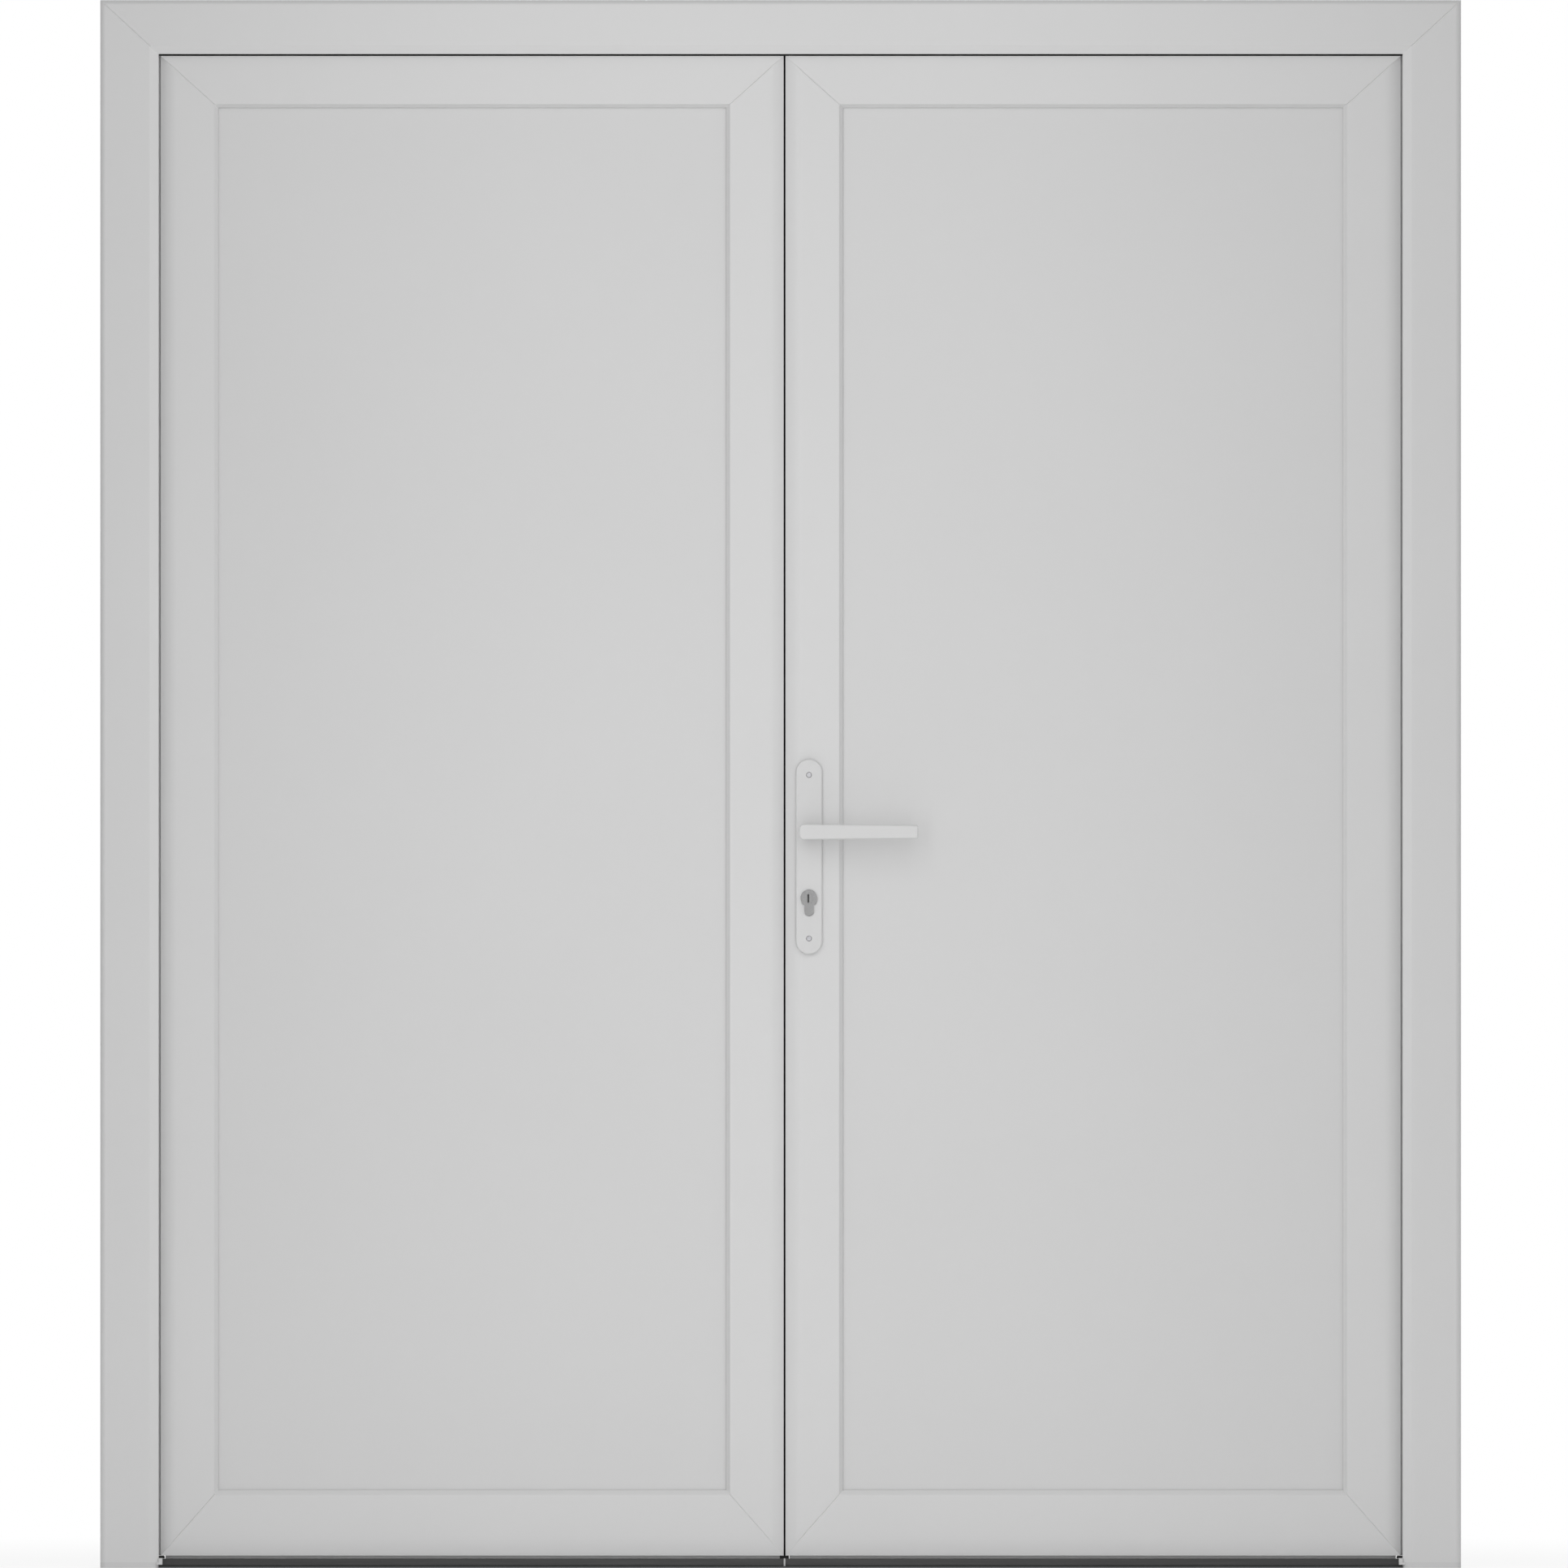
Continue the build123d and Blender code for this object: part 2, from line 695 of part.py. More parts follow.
    def opening(self, u):
        """Box of the panel opening, at a distance u in from the leaf's edges before the rails' shares."""
        x0 = self.x0 + u
        x1 = self.x1 - u
        return x0, x1, LEAF_FOOT + u * FOOT_SHARE, TOP_Z - u * TOP_SHARE

    def panel(self):
        """Flat panel."""
        x0, x1, z0, z1 = self.opening(BASE)
        y0 = LEAF_FRONT + PANEL_FRONT
        return slab(x0 + PANEL_EDGE, x1 - PANEL_EDGE, y0, y0 + PANEL_T, z0 + PANEL_EDGE, z1 - PANEL_EDGE)

    def front_gasket(self):
        """Thin gasket between the leaf's front lip and the panel."""
        x0, x1, z0, z1 = self.opening(FULL_FACE)
        w = GASKET_LAP
        y0 = LEAF_FRONT + LIP_BACK
        return ring(x0 - w, x1 + w, z0 - w, z1 + w, w, w, w, y0, LEAF_FRONT + PANEL_FRONT)

    def rear_gasket(self):
        """Gasket between the panel and the beads."""
        x0, x1, z0, z1 = self.opening(BASE)
        y0 = LEAF_FRONT + PANEL_FRONT + PANEL_T
        e = GLASS_REBATE - GASKET_LAP
        w = GASKET_LAP
        return ring(x0 + e, x1 - e, z0 + e, z1 - e, w, w, w, y0, y0 + GASKET_BACK)

    def beads(self):
        """Four mitred strips that hold the panel from behind, sloped towards it."""
        x0, x1, z0, z1 = self.opening(BASE)
        y0 = LEAF_FRONT + PANEL_FRONT + PANEL_T + GASKET_BACK
        y1 = LEAF_REAR
        wide = ring(x0, x1, z0, z1, BEAD_W, BEAD_W, BEAD_W, y0, y1 - BEAD_BEVEL)
        n = BEAD_W - BEAD_BEVEL
        slim = ring(x0, x1, z0, z1, n, n, n, y1 - BEAD_BEVEL, y1)
        return [p + q for p, q in zip(wide, slim)]

    def packers(self):
        """Blocks between the panel's edge and the leaf frame."""
        x0, x1, z0, z1 = self.opening(BASE)
        y0 = LEAF_FRONT + PANEL_FRONT
        y1 = y0 + PANEL_T
        e = PANEL_EDGE
        blocks = []
        for x in (x0 + PACKER_IN, x1 - PACKER_IN - PACKER_L):
            blocks.append(slab(x, x + PACKER_L, y0, y1, z0, z0 + e))
            blocks.append(slab(x, x + PACKER_L, y0, y1, z1 - e, z1))
        for z in (z0 + PACKER_IN, z1 - PACKER_IN - PACKER_L):
            blocks.append(slab(x0, x0 + e, y0, y1, z, z + PACKER_L))
            blocks.append(slab(x1 - e, x1, y0, y1, z, z + PACKER_L))
        return blocks

    def flange_seals(self):
        """Seal on the front of the rear flange, along the hinge stile and the top rail."""
        y1 = LEAF_REAR - FLANGE_T
        y0 = y1 - FLANGE_SEAL_T
        a = self.out(-FLANGE + FLANGE_SEAL_EDGE)
        b = self.out(-FLANGE + FLANGE_SEAL_EDGE + SEAL_W)
        top = TOP_Z + (FLANGE - FLANGE_SEAL_EDGE) * TOP_SHARE
        side_strip = slab(a, b, y0, y1, LEAF_FOOT, top - SEAL_W)
        top_strip = slab(a, self.back(CAVITY), y0, y1, top - SEAL_W, top)
        return side_strip, top_strip

    def carrier(self):
        """Rail under the leaf that holds the pile."""
        a = self.out(CARRIER_END)
        b = self.back(CAVITY)
        top = LEAF_FOOT
        rail = slab(a, b, LEAF_FRONT + CARRIER_FRONT, LEAF_FRONT + CARRIER_BACK, top - CARRIER_H, top)
        front = LEAF_FRONT + PILE_FRONT
        back = LEAF_FRONT + PILE_BACK
        groove = slab(a, b, front, back, top - CARRIER_H, top - CARRIER_H / 2)
        pile = slab(a, b, LEAF_FRONT + PILE_FRONT, LEAF_FRONT + PILE_BACK, PILE_FOOT, top - CARRIER_H / 2)
        return rail - groove, pile

    def leaf_hinges(self):
        """Leaf halves of the three hinges."""
        s = self.side
        halves = []
        for z in HINGE_HEIGHTS:
            z0 = z - HINGE_HALF
            z1 = z + HINGE_HALF
            inside = AXIS_X - LEAF_PLATE_IN
            plate = slab(s * inside, s * (inside - LEAF_PLATE_W), LEAF_REAR, LEAF_REAR + LEAF_PLATE_T, z0, z1)
            mid = z + HINGE_SPLIT
            y0 = LEAF_REAR + LEAF_PLATE_T / 2
            neck = slab(s * AXIS_X, s * (inside - LEAF_NECK_T), y0, y0 + LEAF_NECK_T, mid, z1)
            knuckle = rod_z(s * AXIS_X, AXIS_Y, mid, z1, KNUCKLE_R)
            bore = rod_z(s * AXIS_X, AXIS_Y, z0, z1, PIN_R + PIN_FIT)
            half = plate + neck + knuckle - bore
            for dz in (-HINGE_SCREW_Z, HINGE_SCREW_Z):
                end = LEAF_REAR + LEAF_PLATE_T
                half = half - rod_y(s * LEAF_SCREW_X, LEAF_REAR, end, z + dz, HINGE_SCREW_R)
            halves.append(half)
        return halves

    def frame_hinges(self):
        """Frame halves of the three hinges."""
        s = self.side
        halves = []
        for z in HINGE_HEIGHTS:
            z0 = z - HINGE_HALF
            z1 = z + HINGE_HALF
            near = NOSE_X + FLANGE + HINGE_NECK_GAP
            plate = slab(s * near, s * (near + HINGE_PLATE_W), REAR, REAR + HINGE_PLATE_T, z0, z1)
            mid = z - HINGE_SPLIT
            neck = slab(s * near, s * (near + HINGE_NECK_W), REAR, AXIS_Y, z0, mid)
            knuckle = rod_z(s * AXIS_X, AXIS_Y, z0, mid, KNUCKLE_R)
            bore = rod_z(s * AXIS_X, AXIS_Y, z0, z1, PIN_R)
            half = plate + neck + knuckle - bore
            for dz in (-HINGE_SCREW_Z, HINGE_SCREW_Z):
                half = half - rod_y(s * FRAME_SCREW_X, REAR, REAR + HINGE_PLATE_T, z + dz, HINGE_SCREW_R)
            halves.append(half)
        return halves

    def pins(self):
        """Hinge pins with their caps."""
        x = self.side * AXIS_X
        bars = []
        for z in HINGE_HEIGHTS:
            top = z + HINGE_HALF
            cap = rod_z(x, AXIS_Y, top, top + PIN_CAP_H, PIN_CAP_R)
            bars.append(rod_z(x, AXIS_Y, z - HINGE_HALF, top, PIN_R) + cap)
        return bars


def euro(grow, y0, y1):
    """Cylinder outline, round above and narrow below, between two depths."""
    half = CYL_STEM_W / 2
    head_part = rod_y(HANDLE_X, y0, y1, CYL_Z, CYL_R + grow)
    low = CYL_Z - CYL_DROP + half
    stem = slab(HANDLE_X - half - grow, HANDLE_X + half + grow, y0, y1, low, CYL_Z)
    return head_part + stem + rod_y(HANDLE_X, y0, y1, low, half + grow)


def handle_plate(y0, y1):
    """Long plate with round ends, its outer edges rounded, at depths y0 (against the leaf) to y1."""
    r = PLATE_W / 2
    reach = PLATE_H / 2 - r
    bar = slab(HANDLE_X - r, HANDLE_X + r, y0, y1, PLATE_Z - reach, PLATE_Z + reach)
    for dz in (-reach, reach):
        bar = bar + rod_y(HANDLE_X, y0, y1, PLATE_Z + dz, r)
    rim = bar.faces().sort_by(Axis.Y)[0 if y1 < y0 else -1].edges()
    bar = fillet(rim, PLATE_EDGE)
    bar = bar - euro(CYL_ROOM, y0, y1)
    return bar - rod_y(HANDLE_X, y0, y1, LEVER_Z, NECK_R + NECK_FIT)


def lever(face, out):
    """Lever on a leaf face at depth face, standing out in direction out along Y."""
    far = face + out * LEVER_STAND
    near = far - out * LEVER_T
    a = HANDLE_X - LEVER_BACK
    b = HANDLE_X + LEVER_REACH
    h = LEVER_ROOT_H / 2
    t = LEVER_TIP_H / 2
    grip = prism(
        [(a, LEVER_Z - h), (b, LEVER_Z - t), (b, LEVER_Z + t), (a, LEVER_Z + h)],
        min(far, near),
        max(far, near),
    )
    ends = grip.edges().filter_by(Axis.Y).sort_by(Axis.X)
    grip = fillet(ends[:2], LEVER_ROOT_R)
    ends = grip.edges().filter_by(Axis.Y).sort_by(Axis.X)
    grip = fillet(ends[-2:], LEVER_TIP_R)
    rims = grip.faces().filter_by(Axis.Y)
    grip = fillet(rims[0].edges() + rims[1].edges(), LEVER_EDGE)
    return grip + rod_y(HANDLE_X, face, near, LEVER_Z, NECK_R)


half_s = SPINDLE_W / 2
spindle_y0 = LEAF_FRONT - PLATE_T - SPINDLE_IN
spindle_y1 = LEAF_REAR + PLATE_T + SPINDLE_IN
spindle = slab(
    HANDLE_X - half_s,
    HANDLE_X + half_s,
    spindle_y0,
    spindle_y1,
    LEVER_Z - half_s,
    LEVER_Z + half_s,
)
cyl_y0 = LEAF_FRONT - PLATE_T - CYL_PROUD
cyl_y1 = LEAF_REAR + PLATE_T + CYL_PROUD
screw_zs = (PLATE_Z - SCREW_GAP / 2, PLATE_Z + SCREW_GAP / 2)

# Lock
case_z0 = LEVER_Z - CASE_BOTTOM
case_z1 = LEVER_Z + CASE_TOP
case_y0 = LEAF_FRONT + CASE_FRONT
case_y1 = LEAF_FRONT + CASE_BACK
case_x1 = ACTIVE_EDGE + CASE_DEEP
bolt_z = LEVER_Z - BOLT_DROP
latch_z = LEVER_Z + LATCH_Z


def passage(x0, x1, z, h, t, grow):
    """Bar along X of height h and thickness t at height z."""
    y0 = MID_Y - t / 2 - grow
    return slab(x0, x1, y0, MID_Y + t / 2 + grow, z - h / 2 - grow, z + h / 2 + grow)


case = slab(ACTIVE_EDGE, case_x1, case_y0, case_y1, case_z0, case_z1)
case = case - slab(
    ACTIVE_EDGE + CASE_WALL,
    case_x1 - CASE_WALL,
    case_y0 + CASE_WALL,
    case_y1 - CASE_WALL,
    case_z0 + CASE_WALL,
    case_z1 - CASE_WALL,
)
case = case - rod_y(HANDLE_X, case_y0, case_y1, LEVER_Z, FOLLOWER_R + FOLLOWER_FIT)
case = case - euro(CYL_ROOM, case_y0, case_y1)
latch_way = passage(PLATE_FACE - EXTRA, ACTIVE_EDGE + CASE_WALL, latch_z, LATCH_H, LATCH_T, BOLT_ROOM / 2)
bolt_way = passage(PLATE_FACE - EXTRA, ACTIVE_EDGE + CASE_WALL, bolt_z, BOLT_H, BOLT_T, BOLT_ROOM / 2)
case = case - latch_way - bolt_way
edge_plate = slab(
    PLATE_FACE,
    ACTIVE_EDGE,
    MID_Y - EDGE_PLATE_HALF,
    MID_Y + EDGE_PLATE_HALF,
    EDGE_PLATE_LOW,
    EDGE_PLATE_HIGH,
)
edge_plate = edge_plate - latch_way - bolt_way
latch_tip = PLATE_FACE - LATCH_PROUD
latch = passage(latch_tip, latch_tip + LATCH_L, latch_z, LATCH_H, LATCH_T, 0)
tip_edge = latch.faces().sort_by(Axis.X)[0].edges().sort_by(Axis.Y)[0]
latch = chamfer(tip_edge, LATCH_PROUD, LATCH_BEVEL, reference=latch.faces().sort_by(Axis.X)[0])
deadbolt = passage(PLATE_FACE, PLATE_FACE + BOLT_L, bolt_z, BOLT_H, BOLT_T, 0)
follower = rod_y(HANDLE_X, case_y0, case_y1, LEVER_Z, FOLLOWER_R) - spindle
save("lock_case", case)
save("edge_plate", edge_plate)
save("latch", latch)
save("deadbolt", deadbolt)
save("follower", follower)
save("spindle", spindle)

# Handle set
front_plate = handle_plate(LEAF_FRONT, LEAF_FRONT - PLATE_T)
rear_plate = handle_plate(LEAF_REAR, LEAF_REAR + PLATE_T)
screws = []
for z in screw_zs:
    head_y = LEAF_FRONT - PLATE_T
    shaft = rod_y(HANDLE_X, head_y, LEAF_REAR + PLATE_T - PLATE_EDGE, z, SCREW_R)
    bolt_head = rod_y(HANDLE_X, head_y, head_y + SCREW_HEAD_H, z, SCREW_HEAD_R)
    front_plate = front_plate - rod_y(HANDLE_X, head_y, LEAF_FRONT, z, SCREW_R)
    front_plate = front_plate - rod_y(HANDLE_X, head_y, head_y + SCREW_HEAD_H, z, SCREW_HEAD_R + SCREW_ROOM)
    rear_plate = rear_plate - rod_y(HANDLE_X, LEAF_REAR, LEAF_REAR + PLATE_T - PLATE_EDGE, z, SCREW_R)
    wide = slab(
        HANDLE_X - CROSS_L / 2,
        HANDLE_X + CROSS_L / 2,
        head_y,
        head_y + CROSS_D,
        z - CROSS_W / 2,
        z + CROSS_W / 2,
    )
    tall = slab(
        HANDLE_X - CROSS_W / 2,
        HANDLE_X + CROSS_W / 2,
        head_y,
        head_y + CROSS_D,
        z - CROSS_L / 2,
        z + CROSS_L / 2,
    )
    screws.append(shaft + bolt_head - wide - tall)
save("front_plate", front_plate)
save("rear_plate", rear_plate)
save("handle_screws", *screws)
save("front_lever", lever(LEAF_FRONT, -1) - spindle)
save("rear_lever", lever(LEAF_REAR, 1) - spindle)

# Cylinder
bore = rod_y(HANDLE_X, cyl_y0, cyl_y1, CYL_Z, PLUG_R + PLUG_FIT)
cam_gap = slab(
    HANDLE_X - CYL_R - EXTRA,
    HANDLE_X + CYL_R + EXTRA,
    MID_Y - CAM_GAP,
    MID_Y + CAM_GAP,
    CYL_Z - CAM_R - CAM_CLEAR,
    CYL_Z + CYL_R + EXTRA,
)
save("cylinder_body", euro(0, cyl_y0, cyl_y1) - bore - cam_gap)
front_plug = rod_y(HANDLE_X, cyl_y0, MID_Y - CAM_HALF, CYL_Z, PLUG_R)
rear_plug = rod_y(HANDLE_X, MID_Y + CAM_GAP, cyl_y1, CYL_Z, PLUG_R)


def keyway(y0, y1):
    """Key slot at one end of a plug."""
    x = HANDLE_X - KEYWAY_X
    z0 = CYL_Z - KEYWAY_H / 2
    return slab(x - KEYWAY_W / 2, x + KEYWAY_W / 2, y0, y1, z0, z0 + KEYWAY_H)


save("front_plug", front_plug - keyway(cyl_y0, cyl_y0 + KEYWAY_D))
save("rear_plug", rear_plug - keyway(cyl_y1 - KEYWAY_D, cyl_y1))
cam = rod_y(HANDLE_X, MID_Y - CAM_HALF, MID_Y + CAM_HALF, CYL_Z, PLUG_R)
cam_arm = slab(
    HANDLE_X - CAM_W / 2,
    HANDLE_X + CAM_W / 2,
    MID_Y - CAM_HALF,
    MID_Y + CAM_HALF,
    CYL_Z - CAM_R,
    CYL_Z,
)
cam_reach = rod_y(HANDLE_X, MID_Y - CAM_HALF, MID_Y + CAM_HALF, CYL_Z, CAM_R - CAM_CLEAR)
save("cam", cam + (cam_arm & cam_reach))

# Shoot bolts in the left leaf
rod_top = TOP_Z + SHOULDER * TOP_SHARE - ROD_SET
rod_foot = LEAF_FOOT + ROD_SET
knob_top_z = rod_top - ROD_LONG + ROD_BAY
knob_foot_z = rod_foot + ROD_LONG - ROD_BAY


def shoot_bolt(z0, z1, knob_z):
    """Rod with a thumb knob that shows in the meeting edge."""
    knob = rod_x(ROD_X, PASSIVE_EDGE + KNOB_PROUD, ROD_Y, knob_z, KNOB_R)
    return rod_z(ROD_X, ROD_Y, z0, z1, ROD_R) + knob


def knob_slot(z0, z1):
    """Slot in the meeting edge for a knob between two heights."""
    w = KNOB_R + KNOB_ROOM
    return slab(PASSIVE_EDGE - WALL, PASSIVE_EDGE, ROD_Y - w, ROD_Y + w, z0 - w, z1 + w)


save("top_shoot_bolt", shoot_bolt(rod_top - ROD_LONG, rod_top, knob_top_z))
save("bottom_shoot_bolt", shoot_bolt(rod_foot, rod_foot + ROD_LONG, knob_foot_z))
lock_keep = slab(
    PASSIVE_EDGE,
    PASSIVE_EDGE + KEEP_T,
    MID_Y - EDGE_PLATE_HALF,
    MID_Y + EDGE_PLATE_HALF,
    bolt_z - KEEP_MARGIN,
    latch_z + KEEP_MARGIN,
)
keep_bolt_way = passage(PASSIVE_EDGE - WALL, PASSIVE_EDGE + KEEP_T, bolt_z, BOLT_H, BOLT_T, BOLT_ROOM)
keep_latch_way = passage(PASSIVE_EDGE - WALL, PASSIVE_EDGE + KEEP_T, latch_z, LATCH_H, LATCH_T, BOLT_ROOM)
save("lock_keep", lock_keep - keep_bolt_way - keep_latch_way)


def whole(low, high):
    """Steel along the whole meeting stile."""
    return [(low, high)]


def split(low, high):
    """Steel above and below the handle set."""
    reach = PLATE_H / 2 + EXTRA
    return [(low, PLATE_Z - reach), (PLATE_Z + reach, high)]


def write_leaf(name, leaf, cuts):
    """Write the pieces that both leaves share, with the holes that the hardware needs."""
    hinge, meet, top, foot_rail = leaf.members()
    for screw in hinge_screws(leaf.side, LEAF_SCREW_X, LEAF_REAR, LEAF_REAR):
        hinge = hinge - screw
    if leaf.side < 0:
        r = ROD_R + ROD_ROOM
        top = top - rod_z(ROD_X, ROD_Y, TOP_Z - FULL_FACE, TOP_Z + FLANGE, r)
        foot_rail = foot_rail - rod_z(ROD_X, ROD_Y, 0, LEAF_FOOT + FULL_FACE, r)
        meet = meet - knob_slot(knob_top_z, knob_top_z + ROD_TRAVEL_UP)
        meet = meet - knob_slot(knob_foot_z - ROD_TRAVEL_DOWN, knob_foot_z)
        meet = meet - keep_bolt_way - keep_latch_way
    else:
        meet = meet - slab(ACTIVE_EDGE, ACTIVE_EDGE + WALL, case_y0, case_y1, case_z0, case_z1)
        meet = meet - rod_y(HANDLE_X, LEAF_FRONT, LEAF_REAR, LEVER_Z, SPINDLE_ROOM)
        meet = meet - euro(CYL_ROOM, LEAF_FRONT, LEAF_REAR)
        for z in screw_zs:
            meet = meet - rod_y(HANDLE_X, LEAF_FRONT, LEAF_REAR, z, SCREW_R)
    save(name + "_hinge_stile", hinge)
    save(name + "_meeting_stile", meet)
    save(name + "_top_rail", top)
    save(name + "_bottom_rail", foot_rail)
    save(name + "_steels", *leaf.steels(cuts))
    save(name + "_panel", leaf.panel())
    save(name + "_panel_gaskets", *leaf.front_gasket(), *leaf.rear_gasket())
    save(name + "_beads", *leaf.beads())
    save(name + "_packers", *leaf.packers())
    save(name + "_flange_seal", *leaf.flange_seals())
    rail, pile = leaf.carrier()
    save(name + "_seal_carrier", rail)
    save(name + "_pile", pile)
    save(name + "_leaf_hinges", *leaf.leaf_hinges())
    rear = LEAF_REAR + LEAF_PLATE_T
    save(name + "_leaf_hinge_screws", *hinge_screws(leaf.side, LEAF_SCREW_X, LEAF_REAR, rear))


left_leaf = Leaf(-1)
right_leaf = Leaf(1)
write_leaf("left", left_leaf, whole)
write_leaf("right", right_leaf, split)
save("frame_hinges", *left_leaf.frame_hinges(), *right_leaf.frame_hinges())
save("hinge_pins", *left_leaf.pins(), *right_leaf.pins())
frame_screws = []
for side in (-1, 1):
    frame_screws.extend(hinge_screws(side, FRAME_SCREW_X, REAR, REAR + HINGE_PLATE_T))
save("frame_hinge_screws", *frame_screws)
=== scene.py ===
"""A white double door in its frame: finishes, small trim and the studio it stands in."""

import json
import math

import bmesh
import bpy
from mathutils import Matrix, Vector


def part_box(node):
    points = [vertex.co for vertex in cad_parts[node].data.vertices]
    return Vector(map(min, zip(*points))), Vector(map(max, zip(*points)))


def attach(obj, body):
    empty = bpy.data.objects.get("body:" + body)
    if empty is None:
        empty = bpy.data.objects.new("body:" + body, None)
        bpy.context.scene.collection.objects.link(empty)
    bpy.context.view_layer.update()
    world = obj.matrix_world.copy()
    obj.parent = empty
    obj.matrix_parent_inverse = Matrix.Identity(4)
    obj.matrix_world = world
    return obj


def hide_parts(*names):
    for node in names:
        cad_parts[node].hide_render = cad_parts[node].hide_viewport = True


bl_info = {
    "name": "Double door",
    "version": (1, 0, 0),
    "blender": (4, 5, 0),
    "location": "View3D > Sidebar > Door",
    "description": "Finishes and trim of a double door that is loaded as a fixed frame",
    "category": "Object",
}

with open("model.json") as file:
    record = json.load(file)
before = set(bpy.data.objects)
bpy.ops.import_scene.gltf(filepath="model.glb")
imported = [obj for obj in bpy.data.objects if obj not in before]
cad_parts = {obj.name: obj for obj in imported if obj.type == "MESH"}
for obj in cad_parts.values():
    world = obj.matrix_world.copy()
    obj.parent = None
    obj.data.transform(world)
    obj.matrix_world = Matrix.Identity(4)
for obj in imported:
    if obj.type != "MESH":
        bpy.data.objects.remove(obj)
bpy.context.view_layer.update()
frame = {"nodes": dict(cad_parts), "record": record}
CAD_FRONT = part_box("head")[0].y
NODES = frame["nodes"]
SLOT_OF = {entry["node"]: entry["material_slot"] for entry in frame["record"]["subparts"]}
MM = 0.001
# Each leaf, and the way from its hinges to the meeting line along X
LEAVES = (("left", 1), ("right", -1))


# Colours and nodes

# Noise levels between which the gloss changes, and how rough the clouds and the grain are
GLOSS_LOW = 0.3
GLOSS_HIGH = 0.7
CLOUD_DETAIL = 3.0
GRAIN_DETAIL = 4.0


def linear(hexa):
    """sRGB hex value as linear RGBA."""
    levels = [int(hexa[i : i + 2], 16) / 255 for i in (1, 3, 5)]
    return tuple(c / 12.92 if c <= 0.04045 else ((c + 0.055) / 1.055) ** 2.4 for c in levels) + (1.0,)


def add_node(tree, kind, settings=None, links=None):
    """Adds one node, sets its properties and sockets by name, and links its inputs."""
    node = tree.nodes.new(kind)
    for key, value in (settings or {}).items():
        if isinstance(key, str) and hasattr(node, key):
            setattr(node, key, value)
        else:
            node.inputs[key].default_value = value
    for key, source in (links or {}).items():
        tree.links.new(source, node.inputs[key])
    return node


def start_material(name):
    """An empty node material with its output, and coordinates that stay with the object."""
    mat = bpy.data.materials.new(name)
    mat.use_nodes = True
    tree = mat.node_tree
    tree.nodes.clear()
    out = add_node(tree, "ShaderNodeOutputMaterial")
    place = add_node(tree, "ShaderNodeTexCoord").outputs["Object"]
    return mat, tree, out, place


def per_mm(size):
    """Texture scale for a pattern of that size in millimetres."""
    return 1.0 / (size * MM)


def coat(
    name, base, dark, rough, spread, grain, relief,
    ior=1.5, metal=0.0, cloud=240.0, stretch=None, cells=False,
):
    """A surface with clouded colour, uneven gloss and a fine relief; grain, relief and cloud in mm."""
    mat, tree, out, place = start_material(name)
    grain_place = place
    if stretch:
        grain_place = add_node(
            tree, "ShaderNodeMapping", {"Scale": stretch}, {"Vector": place}
        ).outputs[0]
    if cells:
        clouds = add_node(tree, "ShaderNodeTexVoronoi", {"Scale": per_mm(cloud)}, {"Vector": place})
    else:
        clouds = add_node(
            tree, "ShaderNodeTexNoise",
            {"Scale": per_mm(cloud), "Detail": CLOUD_DETAIL},
            {"Vector": place},
        )
    fine = add_node(
        tree, "ShaderNodeTexNoise",
        {"Scale": per_mm(grain), "Detail": GRAIN_DETAIL},
        {"Vector": grain_place},
    )
    tone = add_node(
        tree, "ShaderNodeMix",
        {"data_type": "RGBA", 6: linear(dark), 7: linear(base)},
        {0: clouds.outputs["Color"]},
    )
    gloss = add_node(
        tree, "ShaderNodeMapRange",
        {
            "From Min": GLOSS_LOW, "From Max": GLOSS_HIGH,
            "To Min": rough - spread, "To Max": rough + spread,
        },
        {"Value": fine.outputs[0]},
    )
    bump = add_node(
        tree, "ShaderNodeBump",
        {"Strength": 1.0, "Distance": relief * MM},
        {"Height": fine.outputs[0]},
    )
    shader = add_node(
        tree, "ShaderNodeBsdfPrincipled",
        {"IOR": ior, "Metallic": metal},
        {"Base Color": tone.outputs[2], "Roughness": gloss.outputs[0], "Normal": bump.outputs[0]},
    )
    tree.links.new(shader.outputs[0], out.inputs[0])
    return mat


def paint(mat, *slots):
    """Gives the CAD nodes of these material slots a finish."""
    for name, obj in NODES.items():
        if SLOT_OF.get(name) in slots:
            obj.data.materials.clear()
            obj.data.materials.append(mat)


# Meshes

# Corners nearer than this, in metres, are one
MERGE = 1e-6


def piece(name, points, faces, mat, body):
    """A mesh piece in the door's own frame that rides on a body."""
    mesh = bpy.data.meshes.new(name)
    mesh.from_pydata(points, [], faces)
    mesh.validate()
    bm = bmesh.new()
    bm.from_mesh(mesh)
    bmesh.ops.recalc_face_normals(bm, faces=bm.faces)
    bm.to_mesh(mesh)
    bm.free()
    mesh.materials.append(mat)
    obj = bpy.data.objects.new(name, mesh)
    bpy.context.scene.collection.objects.link(obj)
    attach(obj, body)
    return obj


def add_run(points, faces, loops, capped=(True, True)):
    """Joins closed loops of points into one tube, with flat ends where asked; gives the last loop's start."""
    start = len(points)
    count = len(loops[0])
    for loop in loops:
        points.extend(loop)
    for k in range(len(loops) - 1):
        a = start + k * count
        for i in range(count):
            j = (i + 1) % count
            faces.append((a + i, a + j, a + count + j, a + count + i))
    last = start + (len(loops) - 1) * count
    if capped[0]:
        faces.append(tuple(range(start, start + count)))
    if capped[1]:
        faces.append(tuple(range(last, last + count)))
    return last


